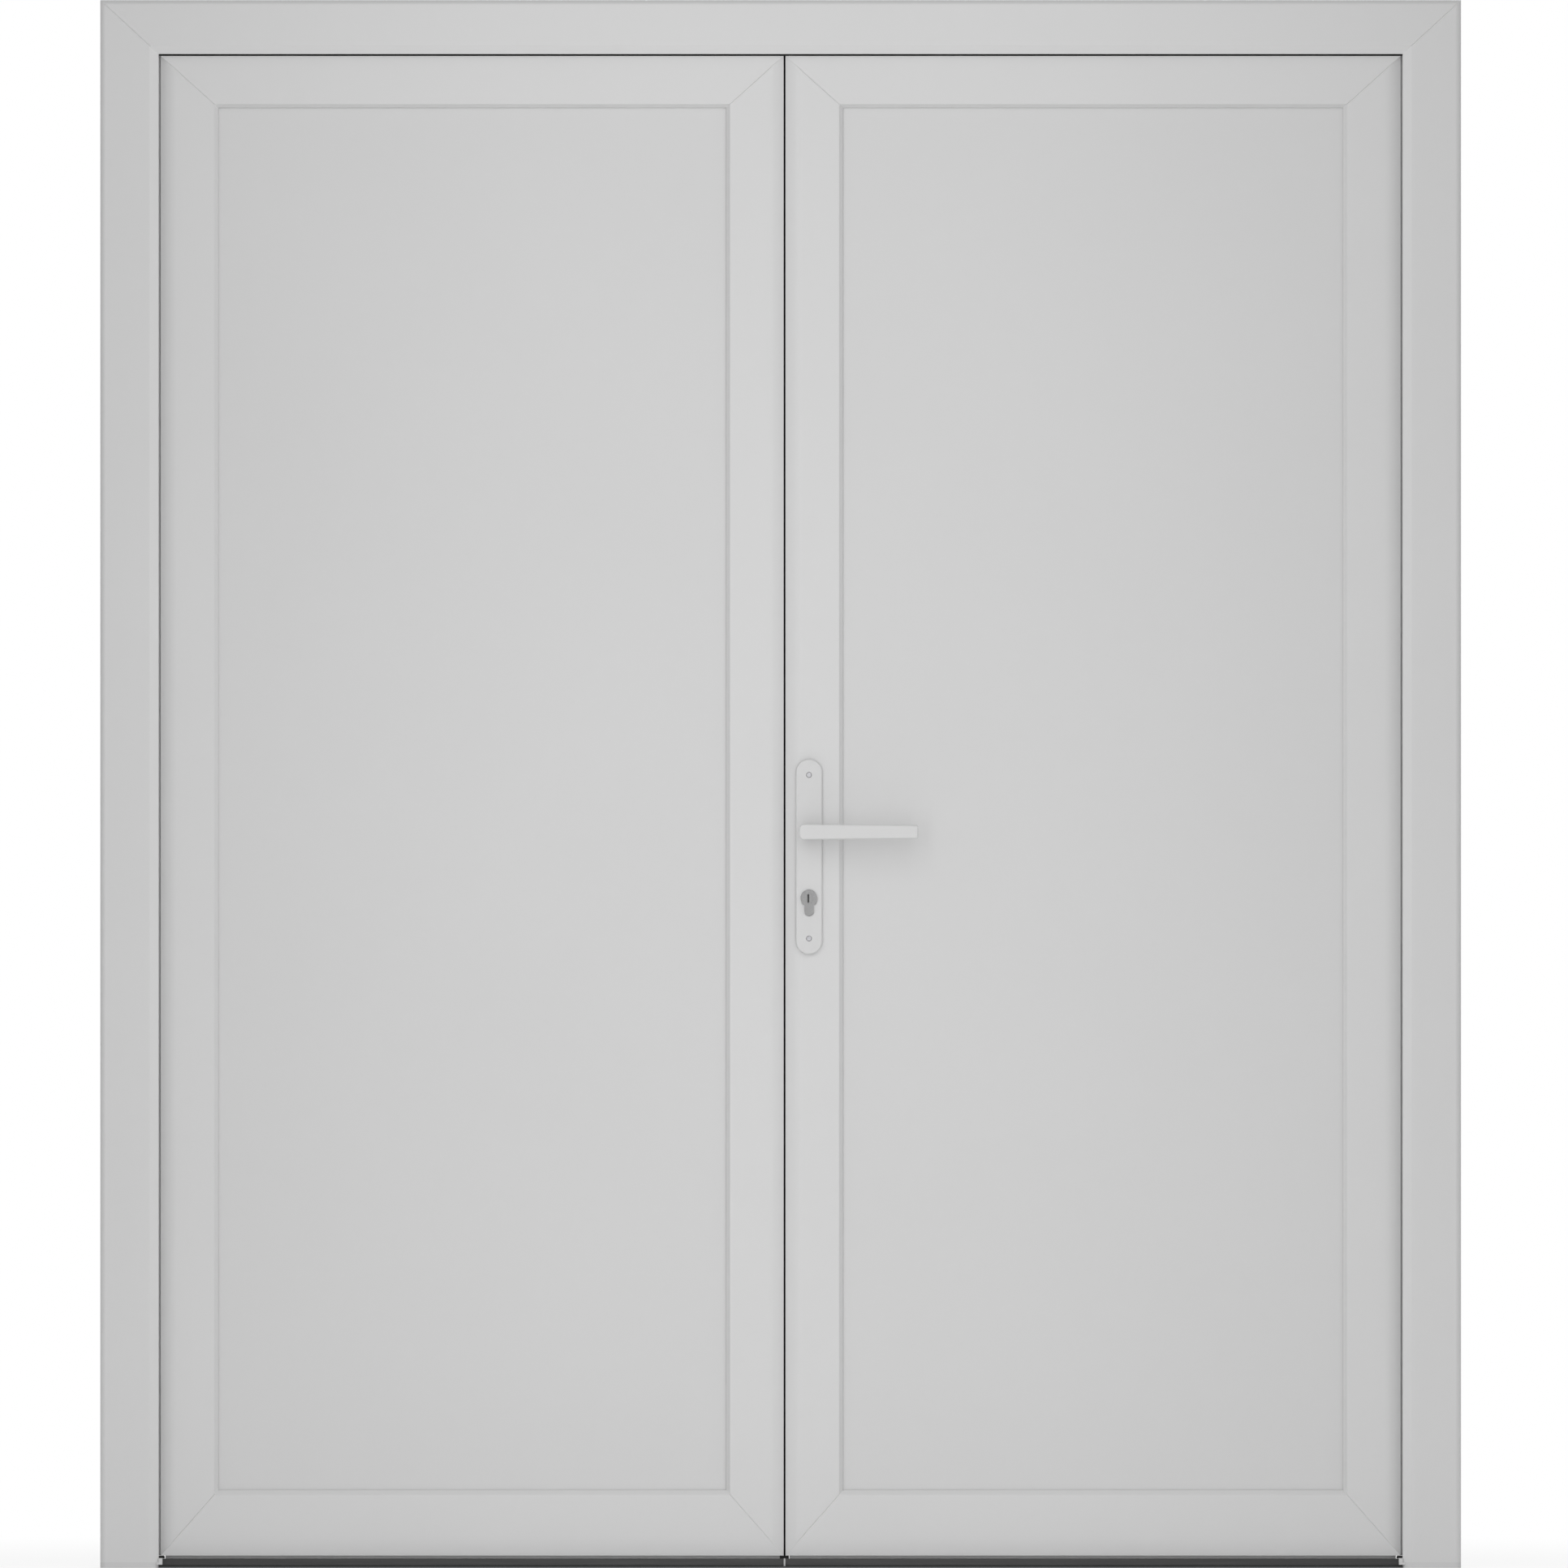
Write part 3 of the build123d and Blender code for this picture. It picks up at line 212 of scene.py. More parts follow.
def islands(node):
    """Lowest and highest corners of each separate solid in a CAD node."""
    bm = bmesh.new()
    bm.from_mesh(NODES[node].data)
    bmesh.ops.remove_doubles(bm, verts=bm.verts, dist=MERGE)
    bm.verts.ensure_lookup_table()
    seen = set()
    boxes = []
    for first in bm.verts:
        if first.index in seen:
            continue
        seen.add(first.index)
        todo = [first]
        group = []
        while todo:
            vert = todo.pop()
            group.append(vert.co)
            for edge in vert.link_edges:
                other = edge.other_vert(vert)
                if other.index not in seen:
                    seen.add(other.index)
                    todo.append(other)
        low = Vector([min(p[i] for p in group) for i in range(3)])
        high = Vector([max(p[i] for p in group) for i in range(3)])
        boxes.append((low, high))
    bm.free()
    return boxes


# Settings a user would change


class DoorColours(bpy.types.PropertyGroup):
    """Colours of the door's finishes."""

    plastic: bpy.props.StringProperty(
        name="Plastic", description="Colour of frame and leaves, sRGB hex", default="#d6d6d6"
    )
    panel: bpy.props.StringProperty(
        name="Panel", description="Colour of the panels' skins, sRGB hex", default="#d3d3d3"
    )
    # The sill's default is darker than its dark grey finish: painted shade from under the leaves is in it
    sill: bpy.props.StringProperty(
        name="Sill", description="Colour of the sill, sRGB hex", default="#202020"
    )
    seal: bpy.props.StringProperty(
        name="Seals", description="Colour of the rubber gaskets, sRGB hex", default="#1c1c1c"
    )
    cylinder: bpy.props.StringProperty(
        name="Key cylinder", description="Colour of the key cylinder, sRGB hex", default="#848484"
    )


class DoorSizes(bpy.types.PropertyGroup):
    """Sizes of the trim and the studio."""

    camera_far: bpy.props.FloatProperty(
        name="Camera distance", description="From the frame's middle", default=40.0, unit="LENGTH"
    )
    view_height: bpy.props.FloatProperty(
        name="View height", description="Height of the picture at the frame's front", default=2.0,
        unit="LENGTH",
    )
    tuft_pitch: bpy.props.FloatProperty(
        name="Tuft pitch", description="From tuft to tuft in the brushes", default=0.0024, unit="LENGTH"
    )
    side_step: bpy.props.FloatProperty(
        name="Side step", description="How far the camera stands to the right", default=0.0043,
        unit="LENGTH",
    )


# Plastic


class DOOR_OT_plastic(bpy.types.Operator):
    """White plastic of the frame, the leaves, the panels and the beads"""

    bl_idname = "door.plastic"
    bl_label = "Plastic finishes"

    def execute(self, context):
        colours = context.scene.door_colours
        # Extruded rigid PVC: even satin white, with the faint orange peel of the die
        profile = coat("extruded_pvc", colours.plastic, "#d2d2d2", 0.4, 0.04, 2.2, 0.012, ior=1.53)
        paint(profile, "frame_plastic", "leaf_plastic", "bead_plastic")
        # Calendered PVC skin: flatter and a little duller than the profiles
        skin = coat("panel_skin_pvc", colours.panel, "#d0d0d0", 0.45, 0.03, 3.0, 0.01, ior=1.53)
        paint(skin, "panel_skin")
        # Moulded ABS: matt, with a spark-eroded texture that is drawn coarser than it is, to show
        foot = coat("moulded_abs", "#d2d2d2", "#cacaca", 0.55, 0.05, 1.6, 0.03, ior=1.54)
        paint(foot, "foot_plastic")
        stop = coat("moulded_abs_grey", "#b4b4b4", "#a8a8a8", 0.55, 0.05, 1.6, 0.03, ior=1.54)
        paint(stop, "stop_plastic")
        # Moulded polypropylene packing: waxy and coloured through
        packer = coat("packing_pp", "#4a6a94", "#426088", 0.5, 0.05, 2.0, 0.02, ior=1.49)
        paint(packer, "packer")
        return {"FINISHED"}


# Rail cap in mm: cut corners, front edge behind the rail's front, rear flange, shoulder above the stile,
# thickness, and how far it hangs below the stile's top
CAP_EDGE = 0.8
CAP_FRONT = 11.0
CAP_FLANGE = 6.0
CAP_HIGH = 9.9
CAP_THICK = 0.4
CAP_DROP = 5.0


class DOOR_OT_rail_caps(bpy.types.Operator):
    """Thin caps over the ends of the top rails, in the hollow between the leaves"""

    bl_idname = "door.rail_caps"
    bl_label = "Rail caps"

    def execute(self, context):
        plastic = bpy.data.materials["extruded_pvc"]
        edge = CAP_EDGE * MM
        for side, way in LEAVES:
            rail_low, rail_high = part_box(side + "_top_rail")
            rear, top = rail_high.y, rail_high.z
            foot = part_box(side + "_meeting_stile")[1].z
            front = rail_low.y + CAP_FRONT * MM
            step = rear - CAP_FLANGE * MM
            shoulder = foot + CAP_HIGH * MM
            hem = foot - CAP_DROP * MM
            section = (
                (front, hem), (step, hem), (step, foot), (rear - edge, foot), (rear, foot + edge),
                (rear, top - edge), (rear - edge, top), (step, top), (step, shoulder),
                (front + edge, shoulder), (front, shoulder - edge),
            )
            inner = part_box(side + "_pile")[1 if way > 0 else 0].x
            ends = (inner, inner + way * CAP_THICK * MM)
            points, faces = [], []
            add_run(points, faces, [[(x, y, z) for y, z in section] for x in ends])
            piece(side + "_rail_cap", points, faces, plastic, side + "_leaf")
        return {"FINISHED"}


# Gaskets

# Section of a bulb gasket in mm: across its foot, then how far it stands up
BULB = (
    (0.0, 0.0), (5.0, 0.0), (5.0, 0.8), (4.3, 1.0), (4.2, 1.7), (3.7, 2.4),
    (2.8, 2.7), (1.9, 2.4), (1.4, 1.7), (1.3, 1.0), (0.0, 0.8),
)
BULB_WIDE = max(u for u, v in BULB)
BULB_HIGH = max(v for u, v in BULB)
# Pad at each foot of the frame gasket, in mm: in from the foot piece, height and cut corner
PAD_STEP = 2.7
PAD_HIGH = 3.5
PAD_EDGE = 1.0


def seal_run(points, faces, stations, up, high):
    """A bulb gasket through stations of an origin and a way across, standing up by high."""
    rise = Vector(up) * high / BULB_HIGH
    loops = []
    for origin, across in stations:
        wide = Vector(across) * MM
        loops.append([Vector(origin) + wide * u + rise * v for u, v in BULB])
    add_run(points, faces, loops)


class DOOR_OT_seals(bpy.types.Operator):
    """Rubber gaskets of the frame, the leaves and the panels"""

    bl_idname = "door.seals"
    bl_label = "Gaskets"

    def execute(self, context):
        # Extruded EPDM: deep black and dull, with a powdery bloom that is drawn coarse enough to show
        rubber = coat(
            "extruded_epdm", context.scene.door_colours.seal, "#141414", 0.7, 0.08, 1.2, 0.03, ior=1.52
        )
        paint(rubber, "gasket")
        # Frame gasket: up one jamb, along the head and down the other, with a pad at each foot
        low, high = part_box("frame_gasket")
        points, faces = [], []
        stations = (
            ((low.x, low.y, low.z), (1, 0, 0)),
            ((low.x, low.y, high.z), (1, 0, -1)),
            ((high.x, low.y, high.z), (-1, 0, -1)),
            ((high.x, low.y, low.z), (-1, 0, 0)),
        )
        seal_run(points, faces, stations, (0, 1, 0), high.y - low.y)
        pad_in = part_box("right_foot")[0].x - PAD_STEP * MM
        pad_out = high.x - BULB_WIDE * MM
        top = low.z + PAD_HIGH * MM
        edge = PAD_EDGE * MM
        for way in (-1, 1):
            a, b = way * pad_in, way * pad_out
            section = ((a, low.z), (b, low.z), (b, top), (a + way * edge, top), (a, top - edge))
            add_run(points, faces, [[(x, y, z) for x, z in section] for y in (low.y, high.y)])
        seal = piece("frame_bulb_gasket", points, faces, rubber, "frame")
        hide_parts("frame_gasket")
        # Flange gaskets: up the hinge stile and along the top rail of each leaf
        for side, way in LEAVES:
            node = side + "_flange_seal"
            low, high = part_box(node)
            outer, end = (low.x, high.x) if way > 0 else (high.x, low.x)
            points, faces = [], []
            stations = (
                ((outer, high.y, low.z), (way, 0, 0)),
                ((outer, high.y, high.z), (way, 0, -1)),
                ((end, high.y, high.z), (0, 0, -1)),
            )
            seal_run(points, faces, stations, (0, -1, 0), high.y - low.y)
            seal = piece(side + "_bulb_gasket", points, faces, rubber, side + "_leaf")
            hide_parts(node)
        return {"FINISHED"}


# Metal

# Stretch of the grain along X for the lines of an extrusion, and along Z for brush and draw marks
SILL_LINES = (0.02, 1.0, 1.0)
BRUSH_MARKS = (1.0, 1.0, 0.1)
DRAW_MARKS = (1.0, 1.0, 0.05)


class DOOR_OT_metal(bpy.types.Operator):
    """Finishes of the sill, the lock, the hinges and the handles"""

    bl_idname = "door.metal"
    bl_label = "Metal finishes"

    def execute(self, context):
        colours = context.scene.door_colours
        # Powder-coated aluminium: dark grey, drawn near black so that it also carries painted shade from
        # under the leaves, with a sandy texture and faint lines along the sill
        sill = coat(
            "powder_coated_sill", colours.sill, "#1b1b1b", 0.5, 0.06, 1.5, 0.02, stretch=SILL_LINES
        )
        paint(sill, "sill_metal")
        # Powder-coated zinc casting: white with a soft sheen and a faint orange peel
        handle = coat("powder_coated_zinc", "#d4d4d4", "#d0d0d0", 0.38, 0.04, 1.8, 0.015)
        paint(handle, "handle_paint")
        # Powder-coated steel: a thicker and rounder orange peel than on the castings
        hinge = coat("powder_coated_steel", "#d6d6d6", "#d0d0d0", 0.42, 0.05, 2.6, 0.03)
        paint(hinge, "hinge_paint")
        # Satin nickel on brass: grey metal with brush marks, drawn coarser than they are, to show
        nickel = coat(
            "satin_nickel", colours.cylinder, "#747474", 0.42, 0.08, 0.8, 0.01,
            metal=1.0, stretch=BRUSH_MARKS,
        )
        paint(nickel, "nickel")
        # Zinc die casting, polished: grey with a slightly uneven gloss
        zinc = coat("zinc_casting", "#a4a4a6", "#98989c", 0.38, 0.1, 2.5, 0.01, metal=1.0, cloud=60.0)
        paint(zinc, "zinc")
        # Bright drawn steel: long draw marks up the bolts, drawn coarser than they are, to show
        drawn = coat(
            "drawn_steel", "#b0b0b0", "#9c9c9e", 0.32, 0.1, 1.2, 0.01,
            metal=1.0, cloud=30.0, stretch=DRAW_MARKS,
        )
        paint(drawn, "bolt_steel")
        # Zinc-plated and passivated screw steel: dull, with a faint blue cast
        plated = coat(
            "passivated_zinc_plate", "#b4b4b6", "#a6a6aa", 0.5, 0.1, 1.4, 0.01, metal=1.0, cloud=12.0
        )
        paint(plated, "screw")
        # Hot-dip galvanised strip: grey, with crystals of zinc about 10 mm across
        strip = coat(
            "galvanised_strip", "#a6aaae", "#8a8e92", 0.48, 0.12, 3.0, 0.01,
            metal=1.0, cloud=10.0, cells=True,
        )
        paint(strip, "galvanised")
        return {"FINISHED"}


# Ribs on the sill in mm: depth from the sill's front edge, and height of the metal there
RIB_PLACES = (
    (42.0, 5.0), (45.5, 5.0), (63.0, 5.0), (68.5, 4.56), (71.5, 4.04), (74.5, 3.51), (77.5, 2.99),
)
# Half widths of a rib's foot and crest, its height, how deep it sits in the metal, and its end gap
RIB_FOOT = 0.9
RIB_CREST = 0.4
RIB_HIGH = 0.4
RIB_SINK = 0.3
RIB_END = 8.0


class DOOR_OT_sill_ribs(bpy.types.Operator):
    """Low ribs along the rear of the sill, where feet step"""

    bl_idname = "door.sill_ribs"
    bl_label = "Sill ribs"

    def execute(self, context):
        low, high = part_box("threshold")
        ends = (low.x + RIB_END * MM, high.x - RIB_END * MM)
        foot, crest = RIB_FOOT * MM, RIB_CREST * MM
        points, faces = [], []
        for depth, level in RIB_PLACES:
            y = low.y + depth * MM
            base = (level - RIB_SINK) * MM
            top = (level + RIB_HIGH) * MM
            section = ((y - foot, base), (y + foot, base), (y + crest, top), (y - crest, top))
            add_run(points, faces, [[(x, py, pz) for py, pz in section] for x in ends])
        # The ribs take the sill's colour, with the painted shade that is in it
        sill = bpy.data.materials["powder_coated_sill"]
        piece("sill_ribs", points, faces, sill, "frame")
        return {"FINISHED"}


# Screws

# Pan head: shares of its radius, with depths in mm down from the crown
HEAD_RINGS = ((1.0, 1.6), (1.0, 0.9), (0.94, 0.45), (0.82, 0.12), (0.7, 0.0))
HEAD_HIGH = HEAD_RINGS[0][1]
# Tapered tip, and the cross recess: reach and half width of an arm, and its depth, in mm
TIP_LONG = 4.0
CROSS_LONG = 2.3
CROSS_WIDE = 0.55
CROSS_DEEP = 1.1
SCREW_SIDES = 24
ARMS = 4
ARM_POINTS = 3
# CAD nodes of screws: body, the way the head looks along Y, and shares of its radius for shank and tip
SCREW_KINDS = {
    "left_leaf_hinge_screws": ("left_leaf", 1, 0.55, 0.1),
    "right_leaf_hinge_screws": ("right_leaf", 1, 0.55, 0.1),
    "frame_hinge_screws": ("frame", 1, 0.55, 0.1),
    "handle_screws": ("right_leaf", -1, 0.7, 0.6),
}


def add_screw(points, faces, low, high, way, shank_share, tip_share):
    """A pan-head screw along Y whose head looks that way, with a cross recess in it."""
    x, z = (low.x + high.x) / 2, (low.z + high.z) / 2
    radius = (high.x - low.x) / 2
    shank = radius * shank_share
    crown_y, tip_y = (high.y, low.y) if way > 0 else (low.y, high.y)
    rings = [
        (radius * tip_share, tip_y),
        (shank, tip_y + way * TIP_LONG * MM),
        (shank, crown_y - way * HEAD_HIGH * MM),
    ]
    rings += [(radius * share, crown_y - way * down * MM) for share, down in HEAD_RINGS]
    # Each ring starts half-way between two arms of the cross
    turns = [math.pi / ARMS + 2 * math.pi * i / SCREW_SIDES for i in range(SCREW_SIDES)]
    loops = [[(x + r * math.cos(t), y, z + r * math.sin(t)) for t in turns] for r, y in rings]
    crown = add_run(points, faces, loops, (True, False))
    # Each arm of the cross has its inner corner and the two corners of its end
    long, wide = CROSS_LONG * MM, CROSS_WIDE * MM
    cross = []
    for arm in range(ARMS):
        turn = 2 * math.pi * (arm + 1) / ARMS
        cos, sin = math.cos(turn), math.sin(turn)
        for u, v in ((wide, -wide), (long, -wide), (long, wide)):
            cross.append((x + u * cos - v * sin, z + u * sin + v * cos))
    floor_y = crown_y - way * CROSS_DEEP * MM
    mouth = len(points)
    wall = [[(px, y, pz) for px, pz in cross] for y in (crown_y, floor_y)]
    add_run(points, faces, wall, (False, True))
    # The crown between its rim and the mouth of the cross, one face for each arm
    step = SCREW_SIDES // ARMS
    for arm in range(ARMS):
        rim = [crown + (arm * step + i) % SCREW_SIDES for i in range(step + 1)]
        lip = [mouth + (arm * ARM_POINTS + i) % len(cross) for i in range(ARM_POINTS + 1)]
        faces.append(tuple(rim + lip[::-1]))


class DOOR_OT_screws(bpy.types.Operator):
    """Pan-head screws in place of the plain ones at the hinges and the handle"""

    bl_idname = "door.screws"
    bl_label = "Screws"

    def execute(self, context):
        plated = bpy.data.materials["passivated_zinc_plate"]
        for node, (body, *form) in SCREW_KINDS.items():
            points, faces = [], []
            for low, high in islands(node):
                add_screw(points, faces, low, high, *form)
            heads = piece(node.replace("screws", "pan_heads"), points, faces, plated, body)
            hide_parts(node)
        return {"FINISHED"}


# Brushes

# Shares of the pitch: half widths of a tuft at root and tip, and how far it leans
TUFT_WIDE = 0.42
TUFT_TIP = 0.34
TUFT_LEAN = 0.15
# Share of its length that a tuft may lack, and turns in radians from one tuft to the next
TUFT_SHORT = 0.05
LEAN_TURN = 2.4
SHORT_TURN = 1.7
# Half thickness of the fin in mm, and the share of the depth that the roots fill
FIN_HALF = 0.2
ROOT_SHARE = 0.7
# Brush between the leaves, in mm: past the right stile's edge, above the floor, below the head's keep,
# and its front and rear
BRUSH_PAST = 4.2
BRUSH_LOW = 6.0
BRUSH_TOP = 3.0
BRUSH_FRONT = 29.0
BRUSH_REAR = 33.0
# Short brush in the corner below it, in mm: gap under the rail, and short of the right leaf's pile
CORNER_GAP = 0.3
CORNER_END = 0.6


def add_brush(points, faces, span, reach, depth, pitch, place):
    """Thin fin between two rows of tufts; place turns along, out and across to x, y, z."""
    root, tip = reach
    mid, half = (depth[0] + depth[1]) / 2, (depth[1] - depth[0]) / 2
    fin = FIN_HALF * MM

    def loop(middle, wide, out, near, far):
        corners = ((-wide, near), (wide, near), (wide, far), (-wide, far))
        return [place(middle + along, out, across) for along, across in corners]

    centre, long = (span[0] + span[1]) / 2, (span[1] - span[0]) / 2
    add_run(points, faces, [loop(centre, long, out, mid - fin, mid + fin) for out in (root, tip)])
    for i in range(int((span[1] - span[0]) / pitch)):
        middle = span[0] + (i + 0.5) * pitch
        for side in (-1, 1):
            # Each tuft leans and ends a little differently
            lean = TUFT_LEAN * pitch * math.sin(LEAN_TURN * i + side)
            end = tip + (root - tip) * TUFT_SHORT * (1 + math.sin(SHORT_TURN * i - side))
            near, far = mid + side * fin, mid + side * half
            first = loop(middle, TUFT_WIDE * pitch, root, near, mid + side * half * ROOT_SHARE)
            last = loop(middle + lean, TUFT_TIP * pitch, end, near, far)
            add_run(points, faces, [first, last])


def lying(along, out, across):
    """Place in a brush that runs along X and points up or down."""
    return (along, across, out)


def standing(along, out, across):
    """Place in a brush that runs up and points along X."""
    return (out, across, along)


class DOOR_OT_brushes(bpy.types.Operator):
    """Pile brushes under the leaves and in the hollow between them"""

    bl_idname = "door.brushes"
    bl_label = "Brushes"

    def execute(self, context):
        pitch = context.scene.door_sizes.tuft_pitch
        # Woven polypropylene pile: fibres that swallow the light, drawn coarser than they are, to show
        fibre = coat("polypropylene_pile", "#262626", "#161616", 0.85, 0.1, 1.0, 0.2, ior=1.49)
        for side, _ in LEAVES:
            node = side + "_pile"
            low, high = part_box(node)
            points, faces = [], []
            add_brush(
                points, faces, (low.x, high.x), (high.z, low.z), (low.y, high.y), pitch, lying
            )
            brush = piece(side + "_foot_brush", points, faces, fibre, side + "_leaf")
            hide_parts(node)
        # The same pile in grey, between the leaves
        grey = coat("polypropylene_pile_grey", "#585858", "#484848", 0.85, 0.1, 1.0, 0.2, ior=1.49)
        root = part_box("lock_keep")[0].x
        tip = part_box("right_meeting_stile")[0].x + BRUSH_PAST * MM
        heights = (BRUSH_LOW * MM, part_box("head_keep")[0].z - BRUSH_TOP * MM)
        depth = (BRUSH_FRONT * MM, BRUSH_REAR * MM)
        points, faces = [], []
        add_brush(points, faces, heights, (root, tip), depth, pitch, standing)
        # A short brush below it closes the corner under both leaves
        low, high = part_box("left_pile")
        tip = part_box("right_pile")[0].x - CORNER_END * MM
        heights = (low.z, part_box("left_bottom_rail")[0].z - CORNER_GAP * MM)
        add_brush(points, faces, heights, (high.x, tip), (low.y, high.y), pitch, standing)
        piece("meeting_brush", points, faces, grey, "left_leaf")
        return {"FINISHED"}


# Studio

# Lamps in metres and watts: place, the point it looks at, width and height, power, spread in degrees
LAMPS = {
    "left_lamp": ((-0.38, -1.7, 1.3), (-0.1, 0.0, 1.15), (0.35, 2.8), 7.9, 180),
    "right_lamp": ((0.38, -1.7, 1.3), (0.1, 0.0, 1.15), (0.35, 2.8), 7.1, 180),
    "floor_lamp": ((0.0, -0.8, 1.0), (0.0, -0.8, 0.0), (2.6, 1.0), 2.4, 70),
    "rear_lamp": ((0.4, 2.8, 1.8), (0.0, 0.0, 1.0), (1.6, 1.6), 34.0, 180),
}
WHITE = (1.0, 1.0, 1.0, 1.0)
# Floor in metres: radius, depth below the door, and where it turns from shaded to fully white
FLOOR_RADIUS = 14.0
FLOOR_SIDES = 96
FLOOR_DROP = 0.0005
FLOOR_NEAR = 1.0
FLOOR_FAR = 1.9
NEAR_WHITE = 0.85
# World: height in the sky at which the light starts and stops to change, and its strength there
SKY_LOW = 0.15
SKY_HIGH = 0.9
LOW_LIGHT = 0.725
HIGH_LIGHT = 0.32
# Camera: sensor in mm, and how far it sees in metres
SENSOR = 36.0
CLIP_END = 500.0


def lamp(name, place, aim, size, watts, spread):
    """An area lamp at a place, turned to a point, unseen by the camera."""
    data = bpy.data.lights.new(name, "AREA")
    data.energy = watts
    data.shape = "RECTANGLE"
    data.size, data.size_y = size
    data.spread = math.radians(spread)
    obj = bpy.data.objects.new(name, data)
    obj.location = place
    obj.rotation_euler = (Vector(aim) - Vector(place)).to_track_quat("-Z", "Y").to_euler()
    obj.visible_camera = False
    bpy.context.scene.collection.objects.link(obj)


def seen_share(tree):
    """Socket that is 1 for what the eye sees straight, in reflections or through glass, and else 0."""
    light = add_node(tree, "ShaderNodeLightPath")
    seen = add_node(
        tree, "ShaderNodeMath", {"operation": "MAXIMUM"},
        {0: light.outputs["Is Camera Ray"], 1: light.outputs["Is Glossy Ray"]},
    )
    through = add_node(
        tree, "ShaderNodeMath", {"operation": "MAXIMUM"},
        {0: seen.outputs[0], 1: light.outputs["Is Transmission Ray"]},
    )
    return through.outputs[0]


def add_floor(scene):
    """A wide pale disc that is white to the eye and keeps a soft shadow."""
    bm = bmesh.new()
    bmesh.ops.create_circle(bm, cap_ends=True, segments=FLOOR_SIDES, radius=FLOOR_RADIUS)
    mesh = bpy.data.meshes.new("floor")
    bm.to_mesh(mesh)
    bm.free()
    floor = bpy.data.objects.new("floor", mesh)
    floor.location.z = -FLOOR_DROP
    scene.collection.objects.link(floor)
    # Pale matt paper: no gloss, and whiter with distance
    mat, tree, out, place = start_material("pale_floor")
    paper = add_node(tree, "ShaderNodeBsdfDiffuse", {"Color": linear("#f0f0f0")})
    white = add_node(tree, "ShaderNodeEmission", {"Color": WHITE, "Strength": 1.0})
    away = add_node(tree, "ShaderNodeVectorMath", {"operation": "LENGTH"}, {0: place})
    fade = add_node(
        tree, "ShaderNodeMapRange",
        {"From Min": FLOOR_NEAR, "From Max": FLOOR_FAR, "To Min": NEAR_WHITE, "To Max": 1.0},
        {"Value": away.outputs["Value"]},
    )
    share = add_node(
        tree, "ShaderNodeMath", {"operation": "MULTIPLY"}, {0: seen_share(tree), 1: fade.outputs[0]}
    )
    both = add_node(
        tree, "ShaderNodeMixShader", None,
        {0: share.outputs[0], 1: paper.outputs[0], 2: white.outputs[0]},
    )
    tree.links.new(both.outputs[0], out.inputs[0])
    mesh.materials.append(mat)


def add_world(scene):
    """White to the eye, and for the rest a soft light that is weaker from above."""
    world = bpy.data.worlds.new("studio")
    scene.world = world
    world.use_nodes = True
    tree = world.node_tree
    tree.nodes.clear()
    out = add_node(tree, "ShaderNodeOutputWorld")
    place = add_node(tree, "ShaderNodeTexCoord").outputs["Generated"]
    sky = add_node(tree, "ShaderNodeSeparateXYZ", None, {0: place})
    level = add_node(
        tree, "ShaderNodeMapRange",
        {"From Min": SKY_LOW, "From Max": SKY_HIGH, "To Min": LOW_LIGHT, "To Max": HIGH_LIGHT},
        {"Value": sky.outputs["Z"]},
    )
    fill = add_node(tree, "ShaderNodeBackground", {"Color": WHITE}, {"Strength": level.outputs[0]})
    white = add_node(tree, "ShaderNodeBackground", {"Color": WHITE, "Strength": 1.0})
    both = add_node(
        tree, "ShaderNodeMixShader", None,
        {0: seen_share(tree), 1: fill.outputs[0], 2: white.outputs[0]},
    )
    tree.links.new(both.outputs[0], out.inputs[0])


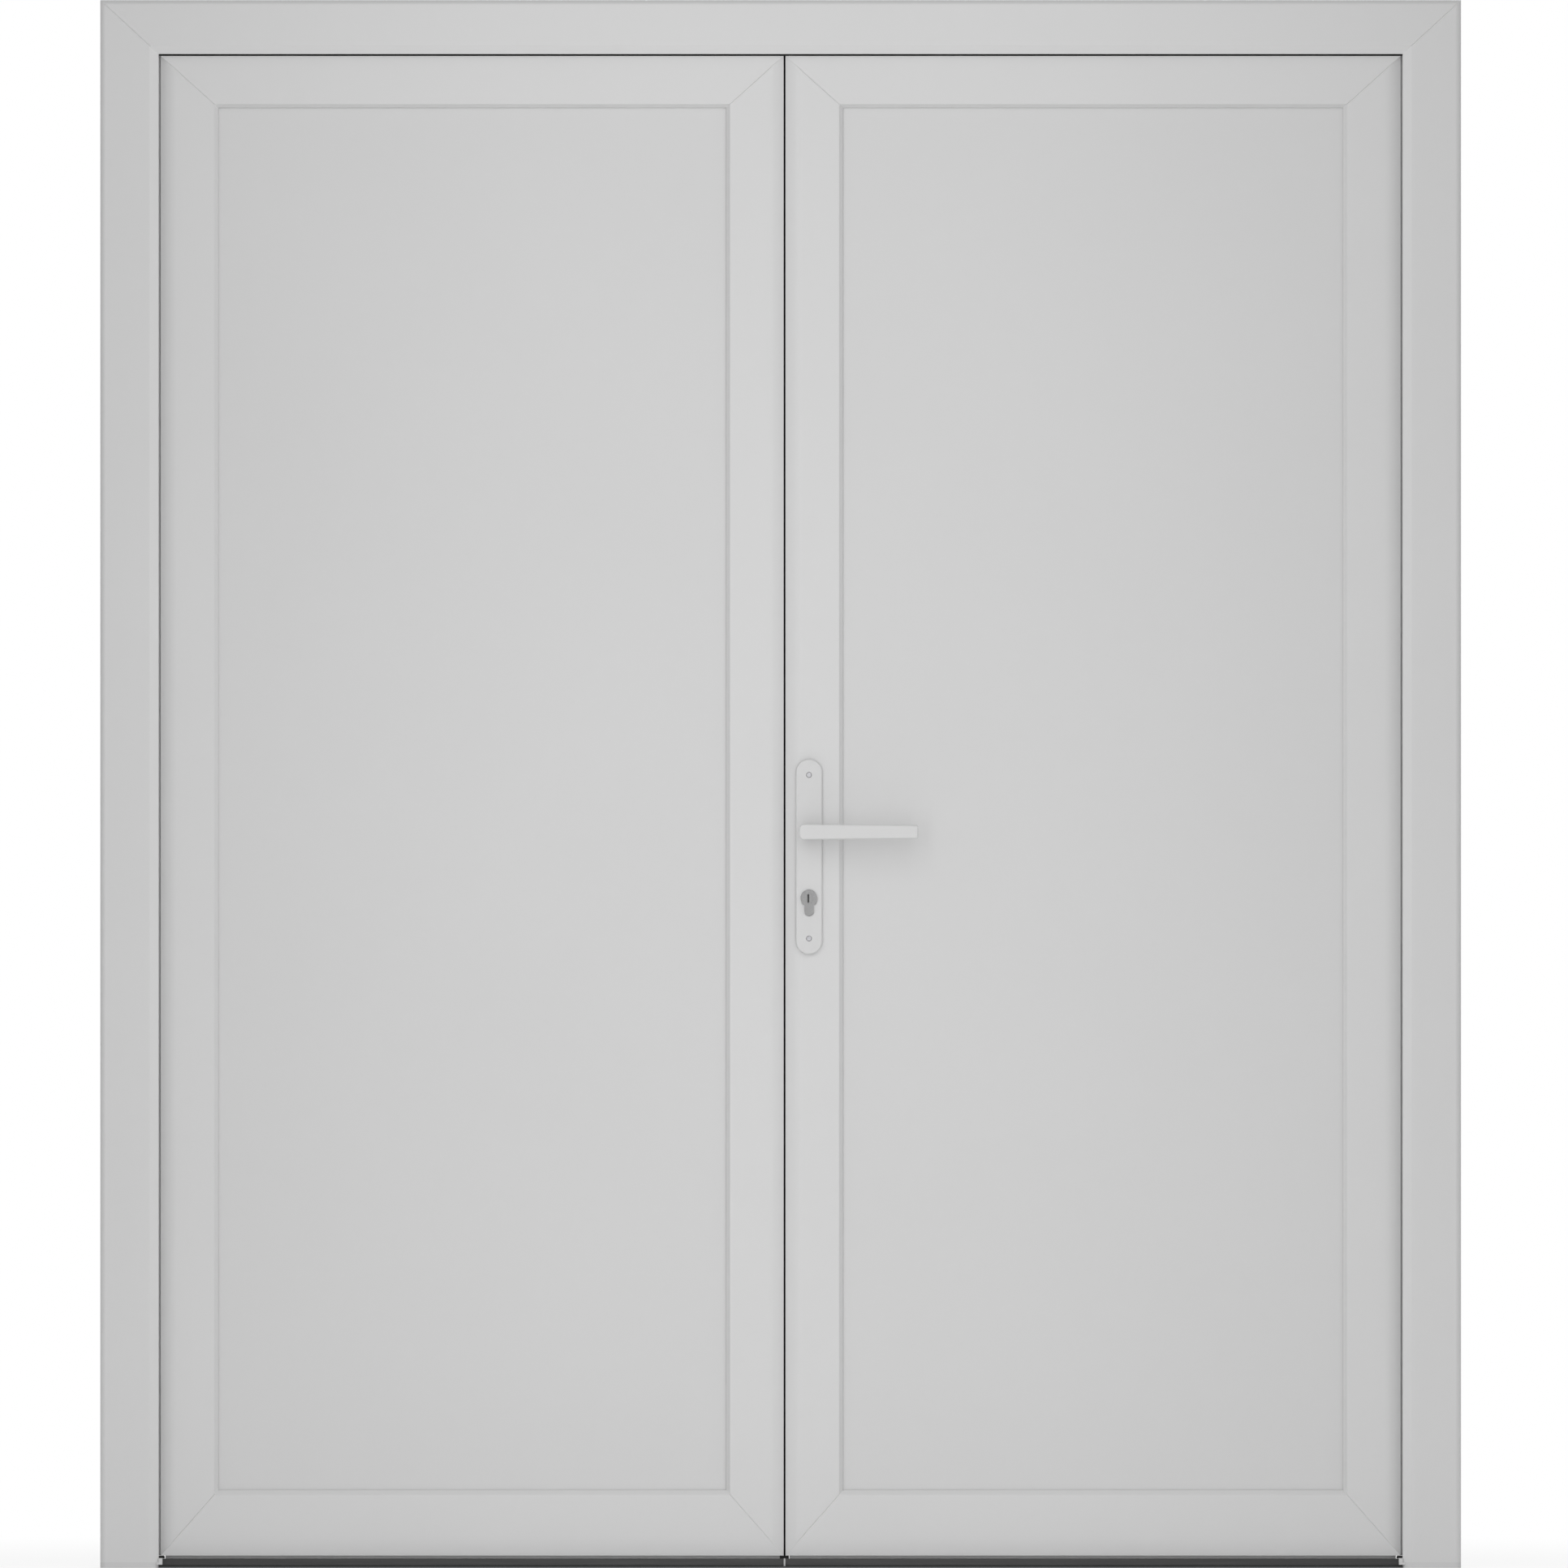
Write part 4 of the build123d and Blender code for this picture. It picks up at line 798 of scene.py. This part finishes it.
def add_camera(scene, sizes):
    """A camera square to the door and far away, so that near and far edges line up."""
    data = bpy.data.cameras.new("camera")
    camera = bpy.data.objects.new("camera", data)
    scene.collection.objects.link(camera)
    camera.location = (sizes.side_step, -sizes.camera_far, sizes.view_height / 2)
    camera.rotation_euler = (math.pi / 2, 0.0, 0.0)
    data.sensor_width = SENSOR
    data.lens = SENSOR * (sizes.camera_far + CAD_FRONT) / sizes.view_height
    data.clip_end = CLIP_END
    scene.camera = camera


class DOOR_OT_stage(bpy.types.Operator):
    """Floor, world, lamps and camera"""

    bl_idname = "door.stage"
    bl_label = "Studio"

    def execute(self, context):
        scene = context.scene
        scene.view_settings.view_transform = "Standard"
        add_floor(scene)
        add_world(scene)
        # Two tall strips in front, one lamp down at the floor, and one behind
        for name, settings in LAMPS.items():
            lamp(name, *settings)
        add_camera(scene, scene.door_sizes)
        return {"FINISHED"}


# Add-on


class DOOR_PT_panel(bpy.types.Panel):
    """Door pieces and their settings"""

    bl_idname = "DOOR_PT_panel"
    bl_label = "Door"
    bl_space_type = "VIEW_3D"
    bl_region_type = "UI"
    bl_category = "Door"

    def draw(self, context):
        for group in (context.scene.door_colours, context.scene.door_sizes):
            for name in group.bl_rna.properties.keys():
                if name not in ("rna_type", "name"):
                    self.layout.prop(group, name)
        for step in STEPS:
            self.layout.operator(step.bl_idname)


STEPS = (
    DOOR_OT_plastic,
    DOOR_OT_rail_caps,
    DOOR_OT_seals,
    DOOR_OT_metal,
    DOOR_OT_sill_ribs,
    DOOR_OT_screws,
    DOOR_OT_brushes,
    DOOR_OT_stage,
)
CLASSES = (DoorColours, DoorSizes, *STEPS, DOOR_PT_panel)


def register():
    """Makes the classes and settings known."""
    for cls in CLASSES:
        bpy.utils.register_class(cls)
    bpy.types.Scene.door_colours = bpy.props.PointerProperty(type=DoorColours)
    bpy.types.Scene.door_sizes = bpy.props.PointerProperty(type=DoorSizes)


def unregister():
    """Takes them away again."""
    del bpy.types.Scene.door_sizes
    del bpy.types.Scene.door_colours
    for cls in reversed(CLASSES):
        bpy.utils.unregister_class(cls)


def main():
    """Makes every piece in order."""
    register()
    bpy.ops.door.plastic()
    bpy.ops.door.rail_caps()
    bpy.ops.door.seals()
    bpy.ops.door.metal()
    bpy.ops.door.sill_ribs()
    bpy.ops.door.screws()
    bpy.ops.door.brushes()
    bpy.ops.door.stage()


if __name__ == "__main__":
    main()
